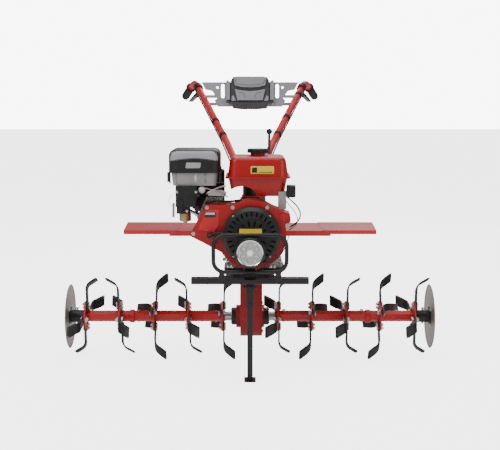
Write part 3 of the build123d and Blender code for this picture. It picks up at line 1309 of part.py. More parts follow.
with BuildPart() as intake_elbow:
    head_top_x = CRANK_X - (BARREL_TOP + HEAD_TOP) / 2 * tilt_c
    head_top_z = CRANK_Z + (BARREL_TOP + HEAD_TOP) / 2 * tilt_s
    port_reach = FIN_HALF - 4
    elbow_base = place((head_top_x + port_reach * tilt_s, ENGINE_MID_Y, head_top_z + port_reach * tilt_c))
    with BuildSketch(Plane(origin=elbow_base, x_dir=(0, 1, 0), z_dir=(tilt_s, 0, tilt_c))):
        Circle(15)
    extrude(amount=90)
    split(bisect_by=level(CLEANER_BOWL_Z), keep=Keep.BOTTOM)

with BuildPart() as carburettor_group:
    add([carburettor.part, intake_elbow.part])
save(carburettor_group, "carburettor")

MUFFLER_FRONT = -122.0
MUFFLER_BACK = -30.0
MUFFLER_Z = 612.0
MUFFLER_HEIGHT = 124.0
MUFFLER_X = -170.0
with BuildPart() as muffler:
    with BuildSketch(level(MUFFLER_Z, MUFFLER_X, (MUFFLER_FRONT + MUFFLER_BACK) / 2)):
        RectangleRounded(150, MUFFLER_BACK - MUFFLER_FRONT, 26)
    extrude(amount=MUFFLER_HEIGHT)
    fillet(muffler.faces().sort_by(Axis.Z)[-1].edges(), 8)
    fillet(muffler.faces().sort_by(Axis.Z)[0].edges(), 8)
    with BuildSketch(level(MUFFLER_Z + 3, MUFFLER_X, (MUFFLER_FRONT + MUFFLER_BACK) / 2)):
        RectangleRounded(144, MUFFLER_BACK - MUFFLER_FRONT - 6, 22)
    extrude(amount=MUFFLER_HEIGHT - 6, mode=Mode.SUBTRACT)
    with BuildSketch(facing(MUFFLER_BACK, MUFFLER_X - 40, MUFFLER_Z + MUFFLER_HEIGHT - 34)):
        Circle(12)
    extrude(amount=-26)
    with BuildSketch(facing(MUFFLER_BACK + 27, MUFFLER_X - 40, MUFFLER_Z + MUFFLER_HEIGHT - 34)):
        Circle(10)
    extrude(amount=60, mode=Mode.SUBTRACT)
    with BuildSketch(facing(MUFFLER_FRONT + 6, MUFFLER_X + 24, MUFFLER_Z + 22)):
        Circle(13)
    extrude(amount=26)
save(muffler, "muffler")

SWITCH_X = CRANK_X + 112.0
SWITCH_Z = CRANK_Z + 64.0
with BuildPart() as engine_switch:
    with BuildSketch(facing(SHROUD_FRONT - SLIP, SWITCH_X, SWITCH_Z)):
        Circle(13)
    extrude(amount=5)
    with BuildSketch(facing(SHROUD_FRONT - SLIP - 5, SWITCH_X, SWITCH_Z)):
        RectangleRounded(6, 23, 2.5)
    extrude(amount=9)
save(engine_switch, "engine_switch")

# ---------------------------------------------------------------- handlebar
POST_HEIGHT = 40.0
with BuildPart() as swivel_base:
    with BuildSketch(level(CASE_TOP_Z, (CASE_LEFT + COVER_OUT) / 2, SWIVEL_Y - 10)):
        RectangleRounded(74, 96, 10)
    extrude(amount=10)
    with BuildSketch(level(CASE_TOP_Z + 10, 0, SWIVEL_Y)):
        Circle(SWIVEL_RADIUS)
    extrude(amount=POST_HEIGHT)

with BuildPart() as gearbox_with_post:
    add([gearbox_case.part, swivel_base.part])
save(gearbox_with_post, "gearbox_case")

HEAD_BOTTOM_Z = CASE_TOP_Z + 10 + SLIP
SHIFT_Z = HEAD_BOTTOM_Z + 22.0
SHIFT_PIN = 6.0
SHIFT_HUB_START = 64.0
SHIFT_HUB_END = 76.0
HEAD_HEIGHT = POST_HEIGHT + 4.0
BARREL_HALF = 20.0
with BuildPart() as swivel_head:
    with BuildSketch(level(HEAD_BOTTOM_Z, 0, SWIVEL_Y)):
        Circle(SWIVEL_RADIUS + 12)
        with Locations((0, (PIVOT_Y - SWIVEL_Y) / 2)):
            Rectangle(2 * BARREL_HALF, PIVOT_Y - SWIVEL_Y)
    extrude(amount=HEAD_HEIGHT)
    with BuildSketch(across(-BARREL_HALF, PIVOT_Y, PIVOT_Z)):
        Circle(22)
    extrude(amount=2 * BARREL_HALF)
    with BuildSketch(across(SWIVEL_RADIUS + 6, SWIVEL_Y, SHIFT_Z)):
        Circle(10)
    extrude(amount=SHIFT_HUB_START - SLIP - SWIVEL_RADIUS - 6)
    with BuildSketch(across(SWIVEL_RADIUS + 6, SWIVEL_Y, SHIFT_Z)):
        Circle(SHIFT_PIN)
    extrude(amount=SHIFT_HUB_END + SLIP - SWIVEL_RADIUS - 6)
    with BuildSketch(across(SHIFT_HUB_END + SLIP, SWIVEL_Y, SHIFT_Z)):
        Circle(9)
    extrude(amount=3)
    with BuildSketch(level(HEAD_BOTTOM_Z, 0, SWIVEL_Y)):
        Circle(SWIVEL_RADIUS + RUNNING)
    extrude(amount=POST_HEIGHT + SLIP, mode=Mode.SUBTRACT)
    with BuildSketch(across(-BARREL_HALF, PIVOT_Y, PIVOT_Z)):
        Circle(PIVOT_RADIUS + RUNNING)
    extrude(amount=2 * BARREL_HALF, mode=Mode.SUBTRACT)
save(swivel_head, "handlebar_swivel_head")

YOKE_CHEEK = 8.0
with BuildPart() as yoke:
    for cheek_side in (1, -1):
        with BuildSketch(across(cheek_side * (BARREL_HALF + SLIP), PIVOT_Y, PIVOT_Z)):
            Circle(24)
            with Locations((26, 14)):
                Rectangle(52, 34, rotation=26)
        extrude(amount=cheek_side * YOKE_CHEEK)
    with BuildSketch(across(-BARREL_HALF - SLIP - YOKE_CHEEK, PIVOT_Y + 46, PIVOT_Z + 24)):
        Rectangle(26, 34, rotation=26)
    extrude(amount=2 * (BARREL_HALF + SLIP + YOKE_CHEEK))
    for cheek_side in (1, -1):
        root = place((cheek_side * ROOT_POINT[0], ROOT_POINT[1], ROOT_POINT[2]))
        clamp = place((cheek_side * CLAMP_POINT[0], CLAMP_POINT[1], CLAMP_POINT[2]))
        run = (clamp - root).normalized()
        with BuildSketch(Plane(origin=root, z_dir=run)):
            Circle(SOCKET_RADIUS)
        extrude(amount=120)
    with BuildSketch(across(-BARREL_HALF - 20, PIVOT_Y, PIVOT_Z)):
        Circle(PIVOT_RADIUS)
    extrude(amount=2 * BARREL_HALF + 40, mode=Mode.SUBTRACT)
    with BuildSketch(across(-BARREL_HALF - SLIP, PIVOT_Y, PIVOT_Z)):
        Circle(24 + SLIP)
    extrude(amount=2 * (BARREL_HALF + SLIP), mode=Mode.SUBTRACT)
    for cheek_side in (1, -1):
        root = place((cheek_side * ROOT_POINT[0], ROOT_POINT[1], ROOT_POINT[2]))
        clamp = place((cheek_side * CLAMP_POINT[0], CLAMP_POINT[1], CLAMP_POINT[2]))
        run = (clamp - root).normalized()
        with BuildSketch(Plane(origin=root + run * 12, z_dir=run)):
            Circle(TUBE_RADIUS)
        extrude(amount=120, mode=Mode.SUBTRACT)
save(yoke, "handlebar_yoke")

with BuildPart() as pivot_bolt:
    bolt_half = BARREL_HALF + SLIP + YOKE_CHEEK
    with BuildSketch(across(-bolt_half, PIVOT_Y, PIVOT_Z)):
        Circle(PIVOT_RADIUS)
    extrude(amount=2 * bolt_half)
    with BuildSketch(across(-bolt_half, PIVOT_Y, PIVOT_Z)):
        RegularPolygon(13, 6)
    extrude(amount=-9)
    with BuildSketch(across(bolt_half, PIVOT_Y, PIVOT_Z)):
        Circle(11)
        with Locations((0, -20)):
            SlotOverall(56, 12, rotation=90)
    extrude(amount=9)
save(pivot_bolt, "handlebar_pivot_bolt")

grips = []
for side, word in SIDES:
    root = place((side * ROOT_POINT[0], ROOT_POINT[1], ROOT_POINT[2]))
    clamp = place((side * CLAMP_POINT[0], CLAMP_POINT[1], CLAMP_POINT[2]))
    bend = place((side * BEND_POINT[0], BEND_POINT[1], BEND_POINT[2]))
    end = place((side * GRIP_POINT[0], GRIP_POINT[1], GRIP_POINT[2]))
    start = root + (clamp - root).normalized() * 12
    route = [start, clamp, bend, end]
    with BuildPart() as tube:
        with BuildLine() as tube_line:
            FilletPolyline(*route, radius=[260.0, 110.0])
        with BuildSketch(Plane(origin=tube_line.line @ 0, z_dir=tube_line.line % 0)):
            Circle(TUBE_RADIUS)
            Circle(TUBE_RADIUS - TUBE_WALL, mode=Mode.SUBTRACT)
        sweep(path=tube_line.line)
    save(tube, f"handlebar_tube_{word}")

    run = (end - bend).normalized()
    with BuildPart() as grip:
        with BuildSketch(Plane(origin=end - run * (GRIP_LENGTH - 6), z_dir=run)):
            Circle(GRIP_RADIUS)
        extrude(amount=GRIP_LENGTH)
        fillet(grip.edges().group_by(Axis.Z)[0], 2)
        with BuildSketch(Plane(origin=end - run * (GRIP_LENGTH - 6), z_dir=run)):
            Circle(TUBE_RADIUS)
        extrude(amount=GRIP_LENGTH - 6, mode=Mode.SUBTRACT)
    grips.append(grip.part)

with BuildPart() as grip_pair:
    add(grips)
save(grip_pair, "grips")

# Console between the tubes: a folded sheet with a moulded panel on its front.
CONSOLE_Y = 742.0
CONSOLE_LOW_Z = 962.0
PLATE_STEPS = [(144.0, 0.0), (160.0, 28.0), (148.0, 38.0), (170.0, 70.0), (200.0, 76.0), (218.0, 110.0)]
PLATE_SLOT_X = 122.0
CONSOLE_SHEET = 2.0
PANEL_HALF = 84.0
PANEL_DEPTH = 42.0
PANEL_LOW_Z = 948.0
PANEL_HIGH_Z = 1098.0
with BuildPart() as console_plate:
    with BuildSketch(facing(CONSOLE_Y)):
        Polygon(
            *[(-x, CONSOLE_LOW_Z + rise) for x, rise in PLATE_STEPS],
            *[(x, CONSOLE_LOW_Z + rise) for x, rise in reversed(PLATE_STEPS)],
            align=None,
        )
        with Locations(*[(slot_side * PLATE_SLOT_X, CONSOLE_LOW_Z + 70) for slot_side in (1, -1)]):
            SlotOverall(62, 15, rotation=90, mode=Mode.SUBTRACT)
        with Locations(*[(hole_side * 146.0, CONSOLE_LOW_Z + 86) for hole_side in (1, -1)]):
            Circle(5, mode=Mode.SUBTRACT)
    extrude(amount=CONSOLE_SHEET)

with BuildPart() as console_panel:
    with BuildSketch(facing(CONSOLE_Y - CONSOLE_SHEET)):
        Polygon(
            (-PANEL_HALF + 6, PANEL_LOW_Z),
            (PANEL_HALF - 6, PANEL_LOW_Z),
            (PANEL_HALF, PANEL_LOW_Z + 30),
            (PANEL_HALF, PANEL_HIGH_Z - 18),
            (PANEL_HALF - 12, PANEL_HIGH_Z),
            (-PANEL_HALF + 12, PANEL_HIGH_Z),
            (-PANEL_HALF, PANEL_HIGH_Z - 18),
            (-PANEL_HALF, PANEL_LOW_Z + 30),
            align=None,
        )
    extrude(amount=PANEL_DEPTH)
    fillet(console_panel.faces().sort_by(Axis.Y)[0].edges(), 8)
    for pod_side in (1, -1):
        pod_z = (PANEL_LOW_Z + PANEL_HIGH_Z) / 2 + 4
        with BuildSketch(facing(CONSOLE_Y - CONSOLE_SHEET, pod_side * (PANEL_HALF + 11), pod_z)):
            RectangleRounded(22, 92, 8)
        extrude(amount=PANEL_DEPTH - 14)
    with BuildSketch(facing(CONSOLE_Y - CONSOLE_SHEET)):
        with Locations((0, (PANEL_LOW_Z + PANEL_HIGH_Z) / 2)):
            RectangleRounded(2 * PANEL_HALF - 10, PANEL_HIGH_Z - PANEL_LOW_Z - 44, 6)
    extrude(amount=PANEL_DEPTH - 4, mode=Mode.SUBTRACT)
save(console_panel, "console_panel")


def tube_run(side):
    """The straight stretch of one handlebar tube: its low end and its direction."""
    low = place((side * CLAMP_POINT[0], CLAMP_POINT[1], CLAMP_POINT[2]))
    high = place((side * BEND_POINT[0], BEND_POINT[1], BEND_POINT[2]))
    return low, (high - low).normalized(), (high - low).length


STAY_WIDTH = 14.0
STAY_END_X = 206.0
with BuildPart() as console_stays:
    for side in (1, -1):
        low, run, length = tube_run(side)
        for stay_z, inner_x in ((CONSOLE_LOW_Z + 12, 128.0), (CONSOLE_LOW_Z + 46, 130.0)):
            with BuildSketch(facing(CONSOLE_Y + STAY_WIDTH, side * (inner_x + STAY_END_X) / 2, stay_z)):
                Rectangle(STAY_END_X - inner_x, STAY_WIDTH)
            extrude(amount=STAY_WIDTH)
        with BuildSketch(Plane(origin=low, z_dir=run)):
            Circle(TUBE_RADIUS)
        extrude(amount=length, mode=Mode.SUBTRACT)

with BuildPart() as console_sheet:
    add([console_plate.part, console_stays.part])
save(console_sheet, "console_plate")

# Levers. Each hangs in a clamp round its tube, ahead of the bend, and points along the grip.
LEVER_BACK = 66.0  # clamp's middle before the bend
LEVER_DROP = 32.0  # pivot below the tube's centre line
LEVER_PIN = 4.0
LEVER_WIDTH = 8.0
LEVER_FORK = 18.0
LEVER_RISE = 9.0  # degrees towards the grip
clamps = []
cables = []
for side, lever_name in ((-1, "clutch_lever"), (1, "throttle_lever")):
    low, run, length = tube_run(side)
    centre = low + run * (length - LEVER_BACK)
    high = place((side * BEND_POINT[0], BEND_POINT[1], BEND_POINT[2]))
    grip_run = (place((side * GRIP_POINT[0], GRIP_POINT[1], GRIP_POINT[2])) - high).normalized()
    hinge_axis = grip_run.cross(run).normalized()
    below = run.cross(hinge_axis).normalized()
    if below.Z > 0:
        below = -below
    pivot = centre + below * LEVER_DROP
    with BuildPart() as lever_clamp:
        with BuildSketch(Plane(origin=centre - run * 13, z_dir=run)):
            Circle(TUBE_RADIUS + 6)
        extrude(amount=26)
        with BuildSketch(Plane(origin=pivot - hinge_axis * LEVER_WIDTH / 2, x_dir=below, z_dir=hinge_axis)):
            Circle(8)
            with Locations((-10, 0)):
                Rectangle(20, 16)
        extrude(amount=LEVER_WIDTH)
        with BuildSketch(Plane(origin=centre - run * 30, z_dir=run)):
            Circle(TUBE_RADIUS)
        extrude(amount=60, mode=Mode.SUBTRACT)
        with BuildSketch(Plane(origin=pivot - hinge_axis * (LEVER_FORK / 2 + 1), x_dir=below, z_dir=hinge_axis)):
            Circle(LEVER_PIN)
        extrude(amount=LEVER_FORK + 2)
    clamps.append(lever_clamp.part)

    lever_x = grip_run * cos(radians(LEVER_RISE)) + run * sin(radians(LEVER_RISE))
    lever_plane = Plane(origin=pivot - hinge_axis * LEVER_FORK / 2, x_dir=lever_x, z_dir=hinge_axis)
    with BuildPart() as lever:
        with BuildSketch(lever_plane):
            Circle(9)
            Polygon((0, -8), (60, -6), (128, -4), (138, 0), (128, 5), (60, 7), (0, 8), align=None)
        extrude(amount=LEVER_FORK)
        with BuildSketch(lever_plane.offset((LEVER_FORK - LEVER_WIDTH) / 2 - SLIP)):
            Rectangle(44, 60)
        extrude(amount=LEVER_WIDTH + 2 * SLIP, mode=Mode.SUBTRACT)
        with BuildSketch(lever_plane):
            Circle(LEVER_PIN + RUNNING)
        extrude(amount=LEVER_FORK, mode=Mode.SUBTRACT)
    save(lever, lever_name)
    print(lever_name, "pivot", pivot, "axis", hinge_axis)

    # Its cable lies beside the tube and is held by two bands.
    cable_side = run.cross(Vector(0, 0, 1)).normalized() * side
    root = place((side * ROOT_POINT[0], ROOT_POINT[1], ROOT_POINT[2]))
    low_run = (low - root).normalized()
    low_side = low_run.cross(Vector(0, 0, 1)).normalized() * side
    gap = TUBE_RADIUS + CABLE_RADIUS + 3
    with BuildPart() as cable:
        with BuildLine() as cable_line:
            FilletPolyline(
                root + low_run * 140 + low_side * gap,
                low + cable_side * gap,
                centre - run * 20 + cable_side * gap,
                radius=260.0,
            )
        with BuildSketch(Plane(origin=cable_line.line @ 0, z_dir=cable_line.line % 0)):
            Circle(CABLE_RADIUS)
        sweep(path=cable_line.line)
    cables.append(cable.part)

with BuildPart() as cable_bands:
    for side, word in SIDES:
        low, run, length = tube_run(side)
        for share in BAND_SHARES[side]:
            with BuildSketch(Plane(origin=low + run * length * share, z_dir=run)):
                Circle(TUBE_RADIUS + 2)
                Circle(TUBE_RADIUS, mode=Mode.SUBTRACT)
            extrude(amount=BAND_WIDTH)

with BuildPart() as lever_clamps:
    add(clamps)
save(lever_clamps, "lever_clamps")

with BuildPart() as handlebar_cables:
    add(cables)
    add(cable_bands.part)
save(handlebar_cables, "handlebar_cables")

# Gear selector: a bent rod on the swivel head's side pin.
SHIFT_X = (SHIFT_HUB_START + SHIFT_HUB_END) / 2
SHIFT_ROD = 5.0
KNOB_RADIUS = 12.0
with BuildPart() as shift_lever:
    with BuildLine() as shift_route:
        FilletPolyline(
            place((SHIFT_X, SWIVEL_Y + 13, SHIFT_Z + 2)),
            place((SHIFT_X + 4, SWIVEL_Y + 90, SHIFT_Z + 66)),
            place((SHIFT_X + 8, SWIVEL_Y + 232, SHIFT_Z + 216)),
            radius=150,
        )
    with BuildSketch(Plane(origin=shift_route.line @ 0, z_dir=shift_route.line % 0)):
        Circle(SHIFT_ROD)
    sweep(path=shift_route.line)
    with Locations(Location(shift_route.line @ 1)):
        Sphere(KNOB_RADIUS)
    with BuildSketch(across(SHIFT_HUB_START, SWIVEL_Y, SHIFT_Z)):
        Circle(15)
    extrude(amount=SHIFT_HUB_END - SHIFT_HUB_START)
    with BuildSketch(across(SHIFT_HUB_START, SWIVEL_Y, SHIFT_Z)):
        Circle(SHIFT_PIN + RUNNING)
    extrude(amount=SHIFT_HUB_END - SHIFT_HUB_START, mode=Mode.SUBTRACT)
save(shift_lever, "shift_lever")

CASE_BOLTS = [(bolt_y, rise) for bolt_y in (-62.0, 62.0) for rise in (40.0, 190.0, 380.0)]
CASE_BOLTS += [(-50.0, -48.0), (50.0, -48.0)]
with BuildPart() as case_bolts:
    for bolt_y, bolt_rise in CASE_BOLTS:
        with BuildSketch(across(COVER_OUT, bolt_y, AXLE_Z + bolt_rise)):
            RegularPolygon(6.5, 6)
        extrude(amount=4)

with BuildPart() as engine_bolts:
    for bolt_x in FRAME_BOLT_X:
        for bolt_y in FRAME_BOLT_Y:
            with BuildSketch(level(FRAME_Z - RAIL_HEIGHT, bolt_x, bolt_y)):
                Circle(BOLT_M8)
            extrude(amount=RAIL_HEIGHT + FRAME_PLATE + 14)
            with BuildSketch(level(ENGINE_BASE_Z + 14, bolt_x, bolt_y)):
                RegularPolygon(7.5, 6)
            extrude(amount=6)

with BuildPart() as casing_bolts:
    add([case_bolts.part, engine_bolts.part])
save(casing_bolts, "casing_bolts")
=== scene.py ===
import bpy
import bmesh
import json
from math import atan2, cos, pi, radians, sin, sqrt, tan
from mathutils import Matrix, Vector
from mathutils.bvhtree import BVHTree


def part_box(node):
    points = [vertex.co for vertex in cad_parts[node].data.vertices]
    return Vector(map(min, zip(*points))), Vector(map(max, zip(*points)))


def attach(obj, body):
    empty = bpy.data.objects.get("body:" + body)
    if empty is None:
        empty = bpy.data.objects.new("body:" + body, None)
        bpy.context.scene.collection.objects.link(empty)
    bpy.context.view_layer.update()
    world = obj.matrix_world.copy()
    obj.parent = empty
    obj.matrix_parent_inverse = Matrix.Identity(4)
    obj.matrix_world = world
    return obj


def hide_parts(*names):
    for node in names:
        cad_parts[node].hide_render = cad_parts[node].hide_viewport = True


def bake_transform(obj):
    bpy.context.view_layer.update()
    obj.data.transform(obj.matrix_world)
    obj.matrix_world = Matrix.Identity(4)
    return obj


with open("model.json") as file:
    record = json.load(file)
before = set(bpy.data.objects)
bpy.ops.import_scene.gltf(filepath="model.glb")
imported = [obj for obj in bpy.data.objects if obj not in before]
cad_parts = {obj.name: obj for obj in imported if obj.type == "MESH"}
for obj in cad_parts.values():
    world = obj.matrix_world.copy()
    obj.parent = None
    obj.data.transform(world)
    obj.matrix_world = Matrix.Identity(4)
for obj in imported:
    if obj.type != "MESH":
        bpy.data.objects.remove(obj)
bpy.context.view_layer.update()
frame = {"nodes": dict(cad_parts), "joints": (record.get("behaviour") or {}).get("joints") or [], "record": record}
nodes = frame["nodes"]


def corners(box):
    return [list(box[0]), list(box[1])]


joints = {joint["name"]: joint for joint in frame["joints"]}
axle = Vector(joints["rotor_spin"]["pos_m"])
crank = Vector(joints["crank_spin"]["pos_m"])
mm = 0.001


def at(x, y, z):
    """A point in millimetres, with y measured back from the axle."""
    return Vector((x * mm, axle.y + y * mm, z * mm))


# ---------------------------------------------------------------- shader groups
def newGroup(name, inputs, outputs):
    tree = bpy.data.node_groups.new(name, "ShaderNodeTree")
    for label, kind, value in inputs:
        socket = tree.interface.new_socket(label, in_out="INPUT", socket_type=kind)
        if value is not None:
            socket.default_value = value
    for label, kind in outputs:
        tree.interface.new_socket(label, in_out="OUTPUT", socket_type=kind)
    start = tree.nodes.new("NodeGroupInput")
    end = tree.nodes.new("NodeGroupOutput")
    return tree, start, end


def addNode(tree, kind, values=None, **settings):
    node = tree.nodes.new(kind)
    for key, value in settings.items():
        setattr(node, key, value)
    for key, value in (values or {}).items():
        node.inputs[key].default_value = value
    return node


def mathNode(tree, operation, first, second=None, clamp=False):
    node = addNode(tree, "ShaderNodeMath", operation=operation, use_clamp=clamp)
    for index, value in enumerate((first, second)):
        if value is None:
            continue
        if isinstance(value, (int, float)):
            node.inputs[index].default_value = value
        else:
            tree.links.new(value, node.inputs[index])
    return node.outputs[0]


def makeGrimeGroup():
    """Broad tone changes, fine grain and sparse chips over a surface."""
    tree, start, end = newGroup(
        "surfaceGrime",
        [("Vector", "NodeSocketVector", None), ("Scale", "NodeSocketFloat", 12.0), ("Chips", "NodeSocketFloat", 0.3)],
        [("Tone", "NodeSocketFloat"), ("Grain", "NodeSocketFloat"), ("Chip", "NodeSocketFloat")],
    )
    links = tree.links
    broad = addNode(tree, "ShaderNodeTexNoise", {"Detail": 4.0, "Roughness": 0.6})
    fine = addNode(tree, "ShaderNodeTexNoise", {"Scale": 900.0, "Detail": 3.0})
    spots = addNode(tree, "ShaderNodeTexNoise", {"Detail": 6.0, "Roughness": 0.72})
    for texture in (broad, fine, spots):
        links.new(start.outputs["Vector"], texture.inputs["Vector"])
    links.new(start.outputs["Scale"], broad.inputs["Scale"])
    links.new(mathNode(tree, "MULTIPLY", start.outputs["Scale"], 7.0), spots.inputs["Scale"])
    limit = mathNode(tree, "SUBTRACT", 0.86, mathNode(tree, "MULTIPLY", start.outputs["Chips"], 0.42))
    chip = mathNode(tree, "MULTIPLY", mathNode(tree, "SUBTRACT", spots.outputs["Fac"], limit), 16.0, clamp=True)
    links.new(broad.outputs["Fac"], end.inputs["Tone"])
    links.new(fine.outputs["Fac"], end.inputs["Grain"])
    links.new(chip, end.inputs["Chip"])
    return tree


def makeAxleWearGroup():
    """A mask that grows from a radius about the rotor's axle outwards, broken up by noise."""
    tree, start, end = newGroup(
        "axleWear",
        [("Vector", "NodeSocketVector", None), ("Start", "NodeSocketFloat", 0.1), ("Width", "NodeSocketFloat", 0.07)],
        [("Mask", "NodeSocketFloat")],
    )
    links = tree.links
    split = addNode(tree, "ShaderNodeSeparateXYZ")
    links.new(start.outputs["Vector"], split.inputs[0])
    back = mathNode(tree, "SUBTRACT", split.outputs["Y"], axle.y)
    rise = mathNode(tree, "SUBTRACT", split.outputs["Z"], axle.z)
    squares = mathNode(tree, "ADD", mathNode(tree, "MULTIPLY", back, back), mathNode(tree, "MULTIPLY", rise, rise))
    reach = mathNode(tree, "SUBTRACT", mathNode(tree, "SQRT", squares), start.outputs["Start"])
    share = mathNode(tree, "DIVIDE", reach, start.outputs["Width"], clamp=True)
    noise = addNode(tree, "ShaderNodeTexNoise", {"Scale": 38.0, "Detail": 7.0, "Roughness": 0.75})
    links.new(start.outputs["Vector"], noise.inputs["Vector"])
    broken = mathNode(tree, "SUBTRACT", mathNode(tree, "ADD", share, noise.outputs["Fac"]), 1.02)
    links.new(mathNode(tree, "MULTIPLY", broken, 7.0, clamp=True), end.inputs["Mask"])
    return tree


grimeGroup = makeGrimeGroup()
axleWearGroup = makeAxleWearGroup()


def mixColour(tree, factor, first, second):
    node = addNode(tree, "ShaderNodeMix", data_type="RGBA")
    tree.links.new(factor, node.inputs[0])
    for index, value in ((6, first), (7, second)):
        if isinstance(value, (tuple, list)):
            node.inputs[index].default_value = (*value[:3], 1.0)
        else:
            tree.links.new(value, node.inputs[index])
    return node.outputs[2]


def makeMaterial(name, look):
    """A procedural finish: tone variation, grain, chips down to another colour, and relief."""
    material = bpy.data.materials.new(name)
    material.use_nodes = True
    tree = material.node_tree
    shader = tree.nodes["Principled BSDF"]
    place = addNode(tree, "ShaderNodeTexCoord")
    grime = addNode(tree, "ShaderNodeGroup", {"Scale": look.get("scale", 12.0), "Chips": look.get("chips", 0.1)}, node_tree=grimeGroup)
    tree.links.new(place.outputs["Object"], grime.inputs["Vector"])
    toned = mixColour(tree, grime.outputs["Tone"], look["dark"], look["light"])
    worn = mixColour(tree, grime.outputs["Chip"], toned, look.get("under", look["light"]))
    rough = mathNode(tree, "MULTIPLY_ADD", grime.outputs["Tone"], look.get("roughSpread", 0.12))
    rough.node.inputs[2].default_value = look["rough"]
    if "wearStart" in look:
        wear = addNode(tree, "ShaderNodeGroup", {"Start": look["wearStart"], "Width": look["wearWidth"]}, node_tree=axleWearGroup)
        tree.links.new(place.outputs["Object"], wear.inputs["Vector"])
        worn = mixColour(tree, wear.outputs["Mask"], worn, look["under"])
        tree.links.new(mathNode(tree, "MULTIPLY", wear.outputs["Mask"], 0.85), shader.inputs["Metallic"])
    else:
        shader.inputs["Metallic"].default_value = look.get("metal", 0.0)
    height = mathNode(tree, "MULTIPLY_ADD", grime.outputs["Chip"], -look.get("chipDepth", 0.5))
    tree.links.new(grime.outputs["Grain"], height.node.inputs[2])
    if "brush" in look:
        stretch = addNode(tree, "ShaderNodeMapping", {"Scale": look["brush"]})
        streaks = addNode(tree, "ShaderNodeTexNoise", {"Scale": 60.0, "Detail": 5.0})
        tree.links.new(place.outputs["Object"], stretch.inputs["Vector"])
        tree.links.new(stretch.outputs["Vector"], streaks.inputs["Vector"])
        height = mathNode(tree, "ADD", height, streaks.outputs["Fac"])
        rough = mathNode(tree, "ADD", rough, mathNode(tree, "MULTIPLY", streaks.outputs["Fac"], 0.12))
    relief = addNode(tree, "ShaderNodeBump", {"Strength": look.get("relief", 0.1), "Distance": look.get("depth", 0.0004)})
    tree.links.new(height, relief.inputs["Height"])
    tree.links.new(relief.outputs["Normal"], shader.inputs["Normal"])
    tree.links.new(worn, shader.inputs["Base Color"])
    tree.links.new(rough, shader.inputs["Roughness"])
    shader.inputs["Coat Weight"].default_value = look.get("coat", 0.0)
    shader.inputs["Coat Roughness"].default_value = 0.12
    shader.inputs["Alpha"].default_value = look.get("alpha", 1.0)
    shader.inputs["Transmission Weight"].default_value = look.get("glass", 0.0)
    if "glow" in look:
        shader.inputs["Emission Color"].default_value = (*look["glow"], 1.0)
        shader.inputs["Emission Strength"].default_value = look["glowStrength"]
    return material


